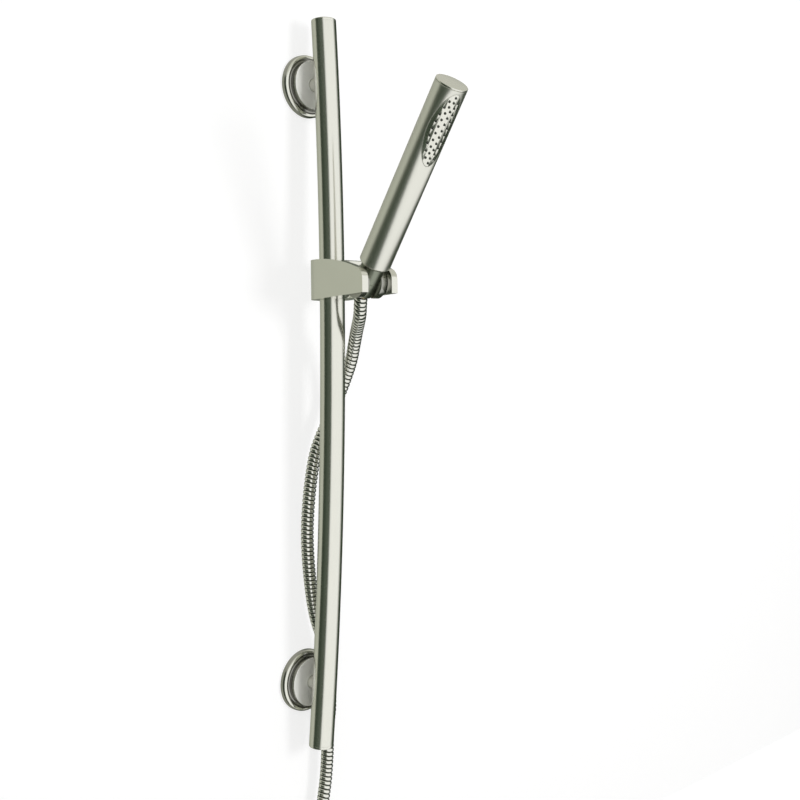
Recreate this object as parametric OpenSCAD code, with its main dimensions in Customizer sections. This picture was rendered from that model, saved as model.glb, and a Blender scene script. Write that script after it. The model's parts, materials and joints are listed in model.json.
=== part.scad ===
// Hand shower on a curved slide rail: wall brackets, slider with a tilting holder, baton handset and hose.
// X runs along the wall, -Y into the room and Z up. The origin is on the wall, midway between the brackets.

/* [Rail] */
// Height from end to end
rail_length = 734; // [660:1:900]
// Outside diameter of the tube
rail_d = 25; // [20:0.5:32]
// Thickness of the tube's wall
rail_wall = 1.5; // [1:0.1:2.5]
// How far the middle bows out past the brackets
rail_bow = 10.5; // [5:0.5:20]
// Thickness of an end cap outside the tube
end_cap_t = 3; // [2:0.1:5]

/* [Brackets] */
// Distance from each end of the rail to its bracket
bracket_inset = 63; // [54:1:100]
// Distance from the wall to the middle of the rail at a bracket
bracket_reach = 31.5; // [31:0.5:45]
// Diameter of a post
post_d = 13.5; // [12.5:0.5:18]
// Diameter of a flange's rim
flange_d = 63; // [56:1:75]
// Depth of a flange's rim
flange_rim_depth = 6.5; // [5:0.5:8]
// Diameter of a flange's raised face
flange_face_d = 49.5; // [44:0.5:53]
// Depth of a flange from the wall to its face
flange_depth = 13.4; // [12:0.1:15]
// Thickness of a flange's sheet
flange_wall = 1.5; // [1:0.1:2]
// Thickness of a wall plate
wall_plate_t = 3; // [2:0.5:5]
// Diameter of a wall bolt
wall_bolt_d = 6; // [5:0.5:7]
// Length of a wall bolt behind the wall's face
wall_bolt_length = 45; // [30:1:70]

/* [Slider] */
// Height of the slider's middle above the middle of the rail
slider_height = 106; // [-100:1:200]
// Swing of the slider about the rail, to the right
slider_swing = -7.5; // [-60:0.5:60]
// Width across the two arms
slider_w = 42; // [41:0.5:56]
// Height at the rail
slider_h = 39.5; // [36:0.5:50]
// Distance from the rail's middle to the front of the arms
nose_reach = 80; // [78:0.5:90]
// Rise of the bottom edge from the rail to the front
bottom_rise = 3; // [0:0.5:5]
// Radius of the sloping top edge
top_edge_r = 215; // [180:5:320]
// Radius of the corner over the nose
nose_corner_r = 12; // [6:0.5:14]
// Thickness of an arm
arm_t = 7; // [6.8:0.1:8]
// Wall of the plastic bush on the rail
bush_t = 2; // [1.5:0.1:3]
// Diameter of the brake's bore
brake_d = 10; // [8:0.5:12]

/* [Holder] */
// Distance from the rail's middle to the barrel's axis
holder_reach = 58; // [56:0.5:62]
// Drop of the barrel's axis below the slider's middle
holder_drop = 6; // [4:0.5:7]
// Diameter of the barrel
barrel_d = 30; // [28:0.5:32]
// Width of the slot that the hose passes through
barrel_slot = 14.5; // [14:0.5:16]
// Diameter of a pivot pin
pivot_d = 6; // [5:0.5:7]
// Depth of a pivot pin in the barrel
pivot_depth = 2; // [1:0.1:2.2]
// Thickness of a friction washer
washer_t = 0.5; // [0.4:0.1:0.8]

/* [Handset] */
// Lean of the handset into the room, from upright
handset_tilt = 36.5; // [10:0.5:50]
// Turn of the spray towards one side
handset_turn = -7; // [-45:1:45]
// Outside diameter
handset_d = 31; // [30.5:0.5:36]
// Length with its end cap
handset_length = 192.5; // [170:0.5:240]
// Wall of the tube
handset_wall = 1.5; // [1.2:0.1:2]
// Distance from the holder's axis to the handset's lower end
handset_seat = 21.5; // [21:0.5:26]
// Chamfer of the lower edge
handset_edge = 1.6; // [0.5:0.1:2.5]
// Thickness of the end cap outside the tube
handset_cap_t = 2; // [1.5:0.5:4]
// Thickness of the tube's lower end wall
handset_base_t = 3; // [2:0.5:5]
// Outside diameter of the inner water tube
water_tube_d = 10; // [8:0.5:11]

/* [Spray] */
// Length of the oval spray plate
spray_length = 72.4; // [60:0.2:80]
// Width of the oval spray plate, straight across
spray_width = 25.5; // [22:0.1:27]
// Distance from the plate's end to the handset's top
spray_margin = 4.5; // [4:0.5:12]
// Diameter of a nozzle where it passes the plate
nozzle_d = 2; // [1.6:0.1:2.4]
// How far a nozzle stands out of the plate
nozzle_stand = 0.9; // [0.5:0.1:1.5]
// Thickness of the rubber mat
mat_t = 1.6; // [1.2:0.1:2.5]
// Wall of the spray chamber
chamber_wall = 1.6; // [1.2:0.1:2.5]

/* [Hose] */
// Outside diameter of the metal hose
hose_d = 13; // [12:0.5:13.5]
// Diameter of the coil at the middle of its turns
coil_d = 138; // [130:1:156]
// Distance between two turns of the coil
coil_pitch = 13.6; // [13.2:0.1:15]
// Number of turns in the coil
coil_turns = 2; // [1:1:3]
// Width of the strap round the coil
strap_w = 12; // [8:1:20]
// Thickness of the strap
strap_t = 1.5; // [1:0.1:3]
// Across the flats of the supply nut
supply_nut_af = 24; // [23:0.5:30]

/* [Fits] */
// Clearance round a part that turns or slides
running_fit = 0.05; // [0.02:0.01:0.1]
// Clearance round a part that is fixed in place
seat_fit = 0.1; // [0.05:0.01:0.2]
// Clearance between plain parts that don't touch
free_gap = 0.3; // [0.2:0.05:0.5]

/* [Hidden] */

$fn = 64;
// Fragments in a full circle of the rail's large radius, about one to every 15 mm.
bow_fn = 1800;

NICKEL = [0.68, 0.69, 0.64];
BRASS = [0.72, 0.6, 0.32];
STEEL = [0.6, 0.61, 0.62];
RUBBER = [0.14, 0.15, 0.14];
PLASTIC = [0.82, 0.82, 0.78];
BLACK = [0.08, 0.08, 0.08];

// The rail's middle line is an arc in the plane X = 0, round a point behind the wall.
half_spacing = rail_length / 2 - bracket_inset;
rail_r = rail_d / 2;
rail_bore_r = rail_r - rail_wall;
bow_r = (half_spacing * half_spacing + rail_bow * rail_bow) / (2 * rail_bow);
bow_y = bow_r - bracket_reach - rail_bow;
end_angle = asin(rail_length / 2 / bow_r);
bracket_angle = asin(half_spacing / bow_r);
slider_angle = asin(slider_height / bow_r);
mm_angle = 180 / PI / bow_r;
tube_end_angle = end_angle - end_cap_t * mm_angle;

// Fastenings of a bracket, in distances from the wall.
post_hub_r = post_d / 2 - 2.1;
hub_end = wall_plate_t + 6;
joining_screw_r = 2.5;
joining_head_r = 4.5;
joining_head_h = 3.5;
post_web = 5;
tube_back = bracket_reach - rail_r;
socket_end = tube_back - post_web;
joining_screw_end = bracket_reach - 2;
grub_r = 2;
grub_place = (wall_plate_t + hub_end) / 2;
wall_bolt_r = wall_bolt_d / 2;

// The slider is drawn with the rail's middle as its own origin and Z along the rail.
slider_r = slider_w / 2;
rail_fit = 0.08;
bush_r = rail_r + rail_fit;
bush_outer_r = bush_r + bush_t;
fork_bore_r = bush_outer_r + running_fit;
fork_lip = 1.2;
bush_h = slider_h - 2 * fork_lip - 2 * running_fit;
fork_gap = slider_w - 2 * arm_t;
barrel_r = barrel_d / 2;
barrel_w = fork_gap - 2 * (washer_t + 2 * running_fit);
web_front = holder_reach - barrel_r - 4;
brake_r = brake_d / 2;
brake_pad_end = fork_bore_r + 5;
brake_screw_start = web_front - 7;
disc_spring_count = 8;
disc_spring_t = (brake_screw_start - brake_pad_end) / disc_spring_count;
pivot_r = pivot_d / 2;
pivot_blind = 5.5;

// The holder, the hose nut and the handset share an axis, with Z from the holder's axis to the handset.
cone_slope = 0.06;
nut_cone_r = 10.75;
nut_low = -12;
nut_top = handset_seat - 0.5;
thread_r = 9.3;
collar_z = handset_seat - 11.5;
collar_t = 1.5;
nut_washer_t = 2;
neck_low = collar_z + collar_t + nut_washer_t;
ferrule_r = hose_d / 2 + 0.5;
ferrule_low = nut_low - 2;
ferrule_bore_r = 4;
// Radius of the hose nut at a height z along its axis.
function nut_r(z) = nut_cone_r + cone_slope * z;

// The handset, in distances along the same axis.
handset_r = handset_d / 2;
handset_bore_r = handset_r - handset_wall;
handset_top = handset_seat + handset_length;
shell_top = handset_top - handset_cap_t;
base_top = handset_seat + handset_base_t;
neck_flange_t = 6;
neck_flange_top = base_top + neck_flange_t;
neck_spigot_top = neck_flange_top + 8;
water_tube_r = water_tube_d / 2;
o_ring_r = 1.2;
cap_spigot = 3;

// The oval spray plate and what lies behind it.
spray_z = handset_top - spray_margin - spray_length / 2;
chamber_low = spray_z - spray_length / 2 - 6;
chamber_top = shell_top - cap_spigot - free_gap;
chamber_socket = 9;
mat_r = handset_bore_r - seat_fit;
mat_bore_r = mat_r - mat_t;
chamber_r = mat_bore_r - seat_fit;
chamber_back = 4;
oval_steps = 48;
// Points of an oval, with its long half-axis along Y.
function oval(half_w, half_l) =
  [for (i = [0:oval_steps - 1]) [half_w * cos(i * 360 / oval_steps), half_l * sin(i * 360 / oval_steps)]];
// Rows of nozzles on the outer and the inner ring, as shares of the ring's half-length.
outer_rows = [0, 0.22, 0.44, 0.66, 0.86, 1];
inner_rows = [0.12, 0.36, 0.6, 0.83, 1];
// Places on one ring, each across the plate and along it. The ring's size is a share of the plate's.
function ring_places(share_w, share_l, rows) =
  [for (row = rows) for (across = row < 1 ? [-1, 1] : [0]) for (along = row > 0 ? [-1, 1] : [0])
    [across * share_w * spray_width / 2 * sqrt(1 - row * row), along * share_l * row * spray_length / 2]];
middle_count = 7;
middle_pitch = spray_length * 0.088;
nozzle_places = concat(
  ring_places(0.68, 0.9, outer_rows),
  ring_places(0.38, 0.765, inner_rows),
  [for (i = [0:middle_count - 1]) [0, (i - (middle_count - 1) / 2) * middle_pitch]]);

// The hose's route from its ferrule to its coil, chosen by hand.
hose_route = [[-6.4, -89.9, 89.8], [-5.5, -83.4, 81], [-1, -76, 69.5], [6.5, -67, 56], [14, -58.5, 41], [19.5, -48.5, 26],
  [21.5, -39, 11], [21.5, -31, -5], [18.5, -25, -20], [14, -20, -36], [8, -17, -51], [2.5, -15, -66],
  [-1, -14, -82], [-5, -14, -104], [-7.5, -14, -127], [-8.5, -14, -150], [-7.5, -14, -173], [-5, -14, -196],
  [-1.5, -14, -218], [2, -14.5, -235], [7, -15.5, -251], [12, -18, -266], [16, -20.5, -280], [17, -21, -294],
  [17, -21, -308], [17.5, -20.5, -322], [17.5, -20, -336], [18, -17.5, -350], [18.5, -16, -364], [18.5, -15.5, -379],
  [18, -15, -395], [16.5, -15, -410], [14, -15, -425], [11, -15, -441], [8, -15, -458], [6, -14.5, -478],
  [5, -14, -500]];
hose_split = 7;
hose_sides = 10;
hose_r = hose_d / 2;
coil_r = coil_d / 2;
hose_end = hose_route[len(hose_route) - 1];
coil_centre = [hose_end[0] - coil_r, 0, hose_end[2]];
coil_first_y = hose_end[1];
coil_last_y = coil_first_y - coil_turns * coil_pitch;
coil_section = [hose_d, coil_first_y - coil_last_y + hose_d];
tail_start = [hose_end[0], coil_last_y, hose_end[2]];
tail_route = [for (drop = [0, 16, 34, 52]) tail_start - [0, 0, drop]];
tail_end = tail_route[len(tail_route) - 1];
supply_collar_t = 1.5;
supply_sleeve = 8;
supply_washer_t = 1;
supply_thread_length = 9;
supply_nut_wall = 3;
supply_shoulder = supply_sleeve - supply_collar_t - running_fit;
supply_relief_r = thread_r + 0.7;
supply_relief_end = supply_sleeve + supply_washer_t + 2 * running_fit;
supply_nut_low = supply_shoulder - supply_nut_wall;
supply_nut_h = supply_relief_end + supply_thread_length - supply_nut_low;

// ---- places ----

// A solid ring of the given section along the rail's arc, from one angle to another.
module along_rail(from, to) {
  translate([0, bow_y, 0])
    rotate([90, 0, -90])
      rotate([0, 0, from])
        rotate_extrude(angle = to - from, $fn = bow_fn)
          translate([bow_r, 0])
            children();
}

// The frame on the rail's middle line at an angle of its arc.
module at_rail(angle) {
  translate([0, bow_y, 0])
    rotate([-angle, 0, 0])
      translate([0, -bow_r, 0])
        children();
}

module at_bracket(side) {
  translate([0, 0, side * half_spacing])
    children();
}

// Z becomes the direction from the wall into the room.
module from_wall() {
  rotate([90, 0, 0])
    children();
}

// The slider's place on the rail, before it swings.
module at_bush() {
  at_rail(slider_angle)
    children();
}

module at_slider() {
  at_bush()
    rotate([0, 0, slider_swing])
      children();
}

module at_holder() {
  at_slider()
    translate([0, -holder_reach, -holder_drop])
      rotate([handset_tilt + slider_angle, 0, 0])
        children();
}

module at_handset() {
  at_holder()
    rotate([0, 0, handset_turn])
      children();
}

module ring(outer_r, inner_r, h) {
  difference() {
    cylinder(r = outer_r, h = h);
    translate([0, 0, -1])
      cylinder(r = inner_r, h = h + 2);
  }
}

module o_ring(middle_r, section_r) {
  rotate_extrude()
    translate([middle_r, 0])
      circle(r = section_r, $fn = 24);
}

// ---- rail and brackets ----

module rail_tube() {
  color(NICKEL)
    difference() {
      along_rail(-tube_end_angle, tube_end_angle)
        difference() {
          circle(r = rail_r);
          circle(r = rail_bore_r);
        }
      for (side = [-1, 1])
        at_bracket(side)
          from_wall()
            cylinder(r = joining_screw_r + seat_fit, h = bracket_reach, $fn = 32);
    }
}

module rail_cap(side) {
  chamfer = 0.6;
  spigot = 8;
  spigot_wall = 1.5;
  color(NICKEL)
    at_rail(side * tube_end_angle)
      mirror([0, 0, side > 0 ? 0 : 1])
        difference() {
          union() {
            cylinder(r = rail_r, h = end_cap_t - chamfer);
            translate([0, 0, end_cap_t - chamfer])
              cylinder(r1 = rail_r, r2 = rail_r - chamfer, h = chamfer);
            translate([0, 0, -spigot])
              cylinder(r = rail_bore_r - seat_fit, h = spigot + 1);
          }
          translate([0, 0, -spigot - 1])
            cylinder(r = rail_bore_r - seat_fit - spigot_wall, h = spigot + 1);
        }
}

// A block in the tube, with a flat front and a threaded hole.
module saddle(side) {
  half_height = 9;
  front = 2;
  block_r = rail_bore_r - seat_fit;
  color(BRASS)
    difference() {
      along_rail(side * bracket_angle - half_height * mm_angle, side * bracket_angle + half_height * mm_angle)
        intersection() {
          circle(r = block_r);
          translate([-block_r * 2 + front, -block_r])
            square(block_r * 2);
        }
      at_bracket(side)
        from_wall()
          cylinder(r = joining_screw_r + running_fit, h = bracket_reach + rail_r, $fn = 32);
    }
}

module post(side) {
  color(NICKEL)
    difference() {
      at_bracket(side)
        from_wall()
          difference() {
            translate([0, 0, wall_plate_t])
              cylinder(r = post_d / 2, h = bracket_reach - wall_plate_t);
            translate([0, 0, wall_plate_t - 1])
              cylinder(r = post_hub_r + seat_fit, h = socket_end - wall_plate_t + 1);
            cylinder(r = joining_screw_r + seat_fit, h = bracket_reach, $fn = 32);
            translate([0, 0, grub_place])
              rotate([180, 90, 90])
                cylinder(r = grub_r + running_fit, h = post_d, $fn = 32);
          }
      along_rail(side * bracket_angle - post_d * mm_angle, side * bracket_angle + post_d * mm_angle)
        circle(r = rail_r + running_fit);
    }
}

module joining_screw(side) {
  socket_r = 1.5;
  color(STEEL)
    at_bracket(side)
      from_wall()
        difference() {
          union() {
            translate([0, 0, socket_end - joining_head_h])
              cylinder(r = joining_head_r, h = joining_head_h);
            translate([0, 0, socket_end - 1])
              cylinder(r = joining_screw_r, h = joining_screw_end - socket_end + 1, $fn = 32);
          }
          translate([0, 0, socket_end - joining_head_h - 1])
            cylinder(r = socket_r, h = 3, $fn = 6);
        }
}

// Half of a flange's section, drawn outside in: the rim, a hollow, the raised side and the face.
module flange_section(inset) {
  rim_r = flange_d / 2 - inset;
  face_r = flange_face_d / 2 - inset;
  rim_top = flange_rim_depth - inset;
  face_top = flange_depth - inset;
  rim_round = 2;
  hollow = 2;
  difference() {
    union() {
      square([rim_r, rim_top - rim_round]);
      square([rim_r - rim_round, rim_top]);
      translate([rim_r - rim_round, rim_top - rim_round])
        circle(r = rim_round, $fn = 48);
      square([face_r, face_top - 0.8]);
      square([face_r - 0.8, face_top]);
      translate([face_r - 0.8, face_top - 0.8])
        circle(r = 0.8, $fn = 32);
    }
    translate([face_r + hollow * 0.8, rim_top + hollow * 0.5])
      circle(r = hollow, $fn = 48);
    translate([-flange_d, -flange_d])
      square([flange_d, 2 * flange_d]);
    translate([-1, -flange_d])
      square([2 * flange_d, flange_d]);
  }
}

module flange(side) {
  color(NICKEL)
    at_bracket(side)
      from_wall()
        difference() {
          rotate_extrude()
            flange_section(0);
          translate([0, 0, -0.01])
            rotate_extrude()
              flange_section(flange_wall);
          cylinder(r = post_d / 2 + seat_fit, h = flange_depth + 1);
        }
}

module wall_plate(side) {
  color(STEEL)
    at_bracket(side)
      from_wall()
        difference() {
          union() {
            cylinder(r = flange_face_d / 2 - flange_wall - free_gap, h = wall_plate_t);
            cylinder(r = post_hub_r, h = hub_end);
          }
          translate([0, 0, -1])
            cylinder(r = wall_bolt_r - 0.5 + running_fit, h = hub_end + 2, $fn = 32);
        }
}

// A set screw from below, through the post onto the hub.
module grub_screw(side) {
  color(STEEL)
    at_bracket(side)
      from_wall()
        translate([0, 0, grub_place])
          rotate([180, 90, 90])
            translate([0, 0, post_hub_r + running_fit])
              difference() {
                cylinder(r = grub_r, h = post_d / 2 - post_hub_r - 2 * running_fit, $fn = 32);
                translate([0, 0, 1])
                  cylinder(r = 1, h = post_d, $fn = 6);
              }
}

// A wall bolt: a stud with a point, and a thinner front end in the plate's hub.
module wall_bolt(side) {
  point = 6;
  front_r = wall_bolt_r - 0.5;
  color(STEEL)
    at_bracket(side)
      from_wall() {
        translate([0, 0, -1])
          cylinder(r = front_r, h = hub_end - 1, $fn = 32);
        translate([0, 0, point - wall_bolt_length])
          cylinder(r = wall_bolt_r, h = wall_bolt_length - point, $fn = 32);
        translate([0, 0, -wall_bolt_length])
          cylinder(r1 = 0.5, r2 = wall_bolt_r, h = point, $fn = 32);
      }
}

// ---- slider ----

// The slider's outline from the side: X is the distance into the room and Y is up.
module fork_side() {
  arc_y = slider_h / 2 - top_edge_r;
  corner_x = nose_reach - nose_corner_r;
  corner_y = arc_y + sqrt(pow(top_edge_r - nose_corner_r, 2) - corner_x * corner_x);
  corner = [corner_x, corner_y];
  tangent = [corner_x, corner_y - arc_y] / (top_edge_r - nose_corner_r);
  translate([-slider_r, -slider_h / 2])
    square([slider_r, slider_h]);
  difference() {
    intersection() {
      polygon([[0, -slider_h / 2], [nose_reach, bottom_rise - slider_h / 2], [nose_reach, slider_h], [0, slider_h]]);
      translate([0, arc_y])
        circle(r = top_edge_r, $fn = 720);
    }
    translate(corner)
      square(slider_h);
  }
  translate(corner)
    circle(r = nose_corner_r);
  intersection() {
    translate([0, arc_y])
      circle(r = top_edge_r, $fn = 720);
    polygon([corner, corner + [0, slider_h], corner + slider_h * tangent]);
  }
}

// The slider's outline from above: a U round the rail, open at the front.
module fork_plan() {
  difference() {
    union() {
      circle(r = slider_r, $fn = 96);
      translate([-slider_r, -nose_reach])
        square([slider_w, nose_reach]);
    }
    translate([-fork_gap / 2, -nose_reach - 1])
      square([fork_gap, nose_reach + 1 - web_front]);
  }
}

module slider_fork() {
  color(NICKEL)
    at_slider()
      difference() {
        intersection() {
          translate([0, 0, -slider_h / 2])
            linear_extrude(slider_h)
              fork_plan();
          rotate([90, 0, -90])
            translate([0, 0, -slider_r - 1])
              linear_extrude(slider_w + 2)
                fork_side();
        }
        translate([0, 0, -slider_h])
          cylinder(r = bush_r + 0.5, h = 2 * slider_h);
        translate([0, 0, -bush_h / 2 - running_fit])
          cylinder(r = fork_bore_r, h = bush_h + 2 * running_fit);
        rotate([90, 0, 0])
          cylinder(r = brake_r + running_fit, h = web_front + 1);
        translate([0, -holder_reach, -holder_drop])
          rotate([0, 90, 0])
            translate([0, 0, -fork_gap / 2 - pivot_blind])
              cylinder(r = pivot_r + running_fit, h = fork_gap + 2 * pivot_blind);
      }
}

// A plastic sleeve that slides on the rail, slit at the back so that the brake can squeeze it.
module slider_bush() {
  slit = 2;
  color(PLASTIC)
    at_bush()
      difference() {
        translate([0, 0, -bush_h / 2])
          cylinder(r = bush_outer_r, h = bush_h);
        translate([0, 0, -slider_h])
          cylinder(r = bush_r, h = 2 * slider_h);
        translate([-slit / 2, 0, -slider_h])
          cube([slit, slider_r, 2 * slider_h]);
      }
}

// A pad whose hollow end presses on the sleeve.
module brake_pad() {
  color(BLACK)
    at_slider()
      difference() {
        rotate([90, 0, 0])
          cylinder(r = brake_r, h = brake_pad_end);
        translate([0, 0, -slider_h])
          cylinder(r = fork_bore_r, h = 2 * slider_h);
      }
}

// Cupped spring discs in a stack, hollow side to hollow side.
module brake_springs() {
  sheet = 0.6;
  hole_r = 1.5;
  rim_r = brake_r - seat_fit;
  cup = disc_spring_t - sheet;
  color(STEEL)
    at_slider()
      rotate([90, 0, 0])
        for (i = [0:disc_spring_count - 1])
          translate([0, 0, brake_pad_end + (i + 0.5) * disc_spring_t])
            mirror([0, 0, i % 2])
              translate([0, 0, -disc_spring_t / 2])
                rotate_extrude()
                  polygon([[hole_r, cup], [rim_r, 0], [rim_r, sheet], [hole_r, cup + sheet]]);
}

module brake_screw() {
  hex_r = 2.5;
  color(STEEL)
    at_slider()
      rotate([90, 0, 0])
        difference() {
          translate([0, 0, brake_screw_start])
            cylinder(r = brake_r, h = web_front - brake_screw_start - 1);
          translate([0, 0, web_front - 4])
            cylinder(r = hex_r, h = 4, $fn = 6);
        }
}

// A pin from the blind hole in an arm into the end of the barrel.
module pivot_pin(side) {
  start = barrel_w / 2 - pivot_depth;
  end = fork_gap / 2 + pivot_blind - seat_fit;
  color(STEEL)
    at_slider()
      translate([0, -holder_reach, -holder_drop])
        rotate([0, side * 90, 0])
          translate([0, 0, start])
            cylinder(r = pivot_r, h = end - start);
}

module friction_washer(side) {
  color(BLACK)
    at_slider()
      translate([0, -holder_reach, -holder_drop])
        rotate([0, side * 90, 0])
          translate([0, 0, barrel_w / 2 + running_fit])
            ring(barrel_r - 4, pivot_r + seat_fit, washer_t);
}

// ---- holder ----

module holder_barrel() {
  cone_reach = barrel_r + 2;
  color(NICKEL)
    difference() {
      at_slider()
        translate([0, -holder_reach, -holder_drop])
          rotate([0, 90, 0])
            difference() {
              translate([0, 0, -barrel_w / 2])
                cylinder(r = barrel_r, h = barrel_w, $fn = 96);
              for (side = [-1, 1])
                translate([0, 0, side * (barrel_w - pivot_depth) / 2])
                  cylinder(r = pivot_r + running_fit, h = pivot_depth + 2 * running_fit, center = true);
            }
      at_holder() {
        translate([0, 0, -cone_reach])
          cylinder(r1 = nut_r(-cone_reach) + seat_fit, r2 = nut_r(cone_reach) + seat_fit, h = 2 * cone_reach);
        translate([-barrel_slot / 2, -2 * barrel_r, -2 * barrel_r])
          cube([barrel_slot, 2 * barrel_r, 4 * barrel_r]);
      }
    }
}

// ---- hose end and nut ----

// The swivelling end of the hose, with a collar inside the nut.
module hose_ferrule() {
  color(BRASS)
    at_handset()
      difference() {
        union() {
          translate([0, 0, ferrule_low])
            cylinder(r = ferrule_r, h = collar_z + 1 - ferrule_low);
          translate([0, 0, collar_z + running_fit])
            cylinder(r = thread_r - 2 * seat_fit, h = collar_t - running_fit);
        }
        translate([0, 0, ferrule_low + 2])
          cylinder(r = ferrule_bore_r, h = collar_z - ferrule_low + collar_t, $fn = 32);
      }
}

module hose_nut() {
  groove_depth = 0.5;
  groove_z = 3.5;
  color(NICKEL)
    at_handset()
      difference() {
        translate([0, 0, nut_low])
          cylinder(r1 = nut_r(nut_low), r2 = nut_r(nut_top), h = nut_top - nut_low);
        translate([0, 0, nut_low - 1])
          cylinder(r = ferrule_r + running_fit, h = nut_top - nut_low + 2);
        translate([0, 0, collar_z])
          cylinder(r = thread_r, h = nut_top);
        translate([0, 0, groove_z])
          ring(nut_cone_r * 2, nut_r(groove_z) - groove_depth, 1);
      }
}

module nut_washer() {
  color(RUBBER)
    at_handset()
      translate([0, 0, collar_z + collar_t + running_fit])
        ring(thread_r - seat_fit, ferrule_bore_r, nut_washer_t - 2 * running_fit);
}

// ---- handset ----

// A prism of the plate's oval, from the handset's axis out through the spray side.
module oval_prism(margin) {
  translate([0, 0, spray_z])
    rotate([90, 0, 0])
      linear_extrude(2 * handset_r)
        polygon(oval(spray_width / 2 + margin, spray_length / 2 + margin));
}

module handset_shell() {
  color(NICKEL)
    at_handset()
      difference() {
        union() {
          translate([0, 0, handset_seat])
            cylinder(r1 = handset_r - handset_edge, r2 = handset_r, h = handset_edge, $fn = 96);
          translate([0, 0, handset_seat + handset_edge])
            cylinder(r = handset_r, h = shell_top - handset_seat - handset_edge, $fn = 96);
        }
        translate([0, 0, base_top])
          cylinder(r = handset_bore_r, h = handset_length, $fn = 96);
        translate([0, 0, handset_seat - 1])
          cylinder(r = thread_r + seat_fit, h = handset_base_t + 2);
        oval_prism(0);
      }
}

module handset_cap() {
  groove = 0.4;
  spigot_wall = 1.5;
  color(NICKEL)
    at_handset()
      difference() {
        union() {
          translate([0, 0, shell_top + groove])
            cylinder(r = handset_r, h = handset_cap_t - groove, $fn = 96);
          translate([0, 0, shell_top - cap_spigot])
            cylinder(r = handset_bore_r - seat_fit, h = cap_spigot + groove + 1, $fn = 96);
        }
        translate([0, 0, shell_top - cap_spigot - 1])
          cylinder(r = handset_bore_r - seat_fit - spigot_wall, h = cap_spigot + 1, $fn = 96);
      }
}

// Lower connector: a thread through the base, a flange on it and a spigot for the water tube.
module handset_neck() {
  bore_r = 6;
  color(BRASS)
    at_handset()
      difference() {
        union() {
          translate([0, 0, neck_low])
            cylinder(r = thread_r - seat_fit, h = base_top - neck_low + 1);
          translate([0, 0, base_top])
            cylinder(r = handset_bore_r - seat_fit, h = neck_flange_t);
          translate([0, 0, neck_flange_top - 1])
            cylinder(r = water_tube_r + 2, h = neck_spigot_top - neck_flange_top + 1);
        }
        translate([0, 0, neck_low - 1])
          cylinder(r = bore_r, h = base_top - neck_low + 1);
        translate([0, 0, base_top - 1])
          cylinder(r = water_tube_r - 1, h = neck_flange_t + 2);
        translate([0, 0, neck_flange_top])
          cylinder(r = water_tube_r + seat_fit, h = neck_spigot_top);
        translate([0, 0, base_top + neck_flange_t / 2 - o_ring_r])
          ring(handset_r, handset_bore_r - 2 * o_ring_r - seat_fit, 2 * o_ring_r);
      }
}

module neck_o_ring() {
  color(RUBBER)
    at_handset()
      translate([0, 0, base_top + neck_flange_t / 2])
        o_ring(handset_bore_r - o_ring_r, o_ring_r - running_fit);
}

// A disc with one small hole in the neck.
module flow_limiter() {
  color(PLASTIC)
    at_handset()
      translate([0, 0, neck_low + 1])
        ring(6 - running_fit, 2.5, 4);
}

module water_tube() {
  color(PLASTIC)
    at_handset()
      translate([0, 0, neck_flange_top + running_fit])
        ring(water_tube_r, water_tube_r - 1, chamber_low + chamber_socket - neck_flange_top - 1.3);
}

module tube_seal() {
  color(RUBBER)
    at_handset()
      translate([0, 0, chamber_low + chamber_socket / 2])
        o_ring(water_tube_r + o_ring_r, o_ring_r - running_fit);
}

// A half-round trough behind the mat, with a socket for the water tube in its lower end.
module spray_chamber() {
  low_end = chamber_low + chamber_socket;
  color(PLASTIC)
    at_handset()
      difference() {
        translate([0, 0, chamber_low])
          cylinder(r = chamber_r, h = chamber_top - chamber_low);
        translate([-handset_r, chamber_back, low_end])
          cube([handset_d, handset_d, handset_length]);
        intersection() {
          translate([0, 0, low_end + chamber_wall])
            cylinder(r = chamber_r - chamber_wall, h = chamber_top - low_end - 2 * chamber_wall);
          translate([-handset_r, chamber_back - chamber_wall - handset_d, low_end])
            cube([handset_d, handset_d, handset_length]);
        }
        intersection() {
          oval_prism(-3);
          cylinder(r = handset_r, h = handset_top);
        }
        translate([0, 0, chamber_low - 1])
          cylinder(r = water_tube_r + seat_fit, h = chamber_socket);
        translate([0, 0, chamber_low])
          cylinder(r = water_tube_r - 1, h = chamber_socket + 2 * chamber_wall);
        translate([0, 0, chamber_low + chamber_socket / 2 - o_ring_r])
          cylinder(r = water_tube_r + 2 * o_ring_r + seat_fit, h = 2 * o_ring_r);
      }
}

// A nozzle or its hole, standing straight out of the handset's side at its place on the plate.
module at_nozzles() {
  for (place = nozzle_places)
    translate([0, 0, spray_z + place[1]])
      rotate([90, 0, asin(place[0] / handset_r)])
        children();
}

// A curved mat under the plate, with a rubber nozzle through each of its holes.
module nozzle_mat() {
  color(RUBBER)
    at_handset()
      difference() {
        union() {
          intersection() {
            translate([0, 0, chamber_low])
              ring(mat_r, mat_bore_r, handset_length);
            oval_prism(-0.6);
          }
          at_nozzles()
            translate([0, 0, mat_bore_r + 0.3])
              cylinder(r = nozzle_d / 2, h = handset_r + nozzle_stand - mat_bore_r - 0.3, $fn = 16);
        }
        at_nozzles()
          translate([0, 0, handset_r])
            cylinder(r = nozzle_d / 4, h = 2, $fn = 16);
      }
}

// The oval plate, flush with the handset's side and pierced for the nozzles.
module spray_plate() {
  color(NICKEL)
    at_handset()
      difference() {
        intersection() {
          translate([0, 0, chamber_low])
            ring(handset_r, handset_bore_r, handset_length);
          oval_prism(-seat_fit * 2);
        }
        at_nozzles()
          translate([0, 0, handset_bore_r - 2])
            cylinder(r = nozzle_d / 2 + running_fit, h = 6, $fn = 16);
      }
}

// ---- hose ----

// Direction of a route at one of its points.
function heading(route, i) =
  let (a = route[max(i - 1, 0)], b = route[min(i + 1, len(route) - 1)])
  (b - a) / norm(b - a);

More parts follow.
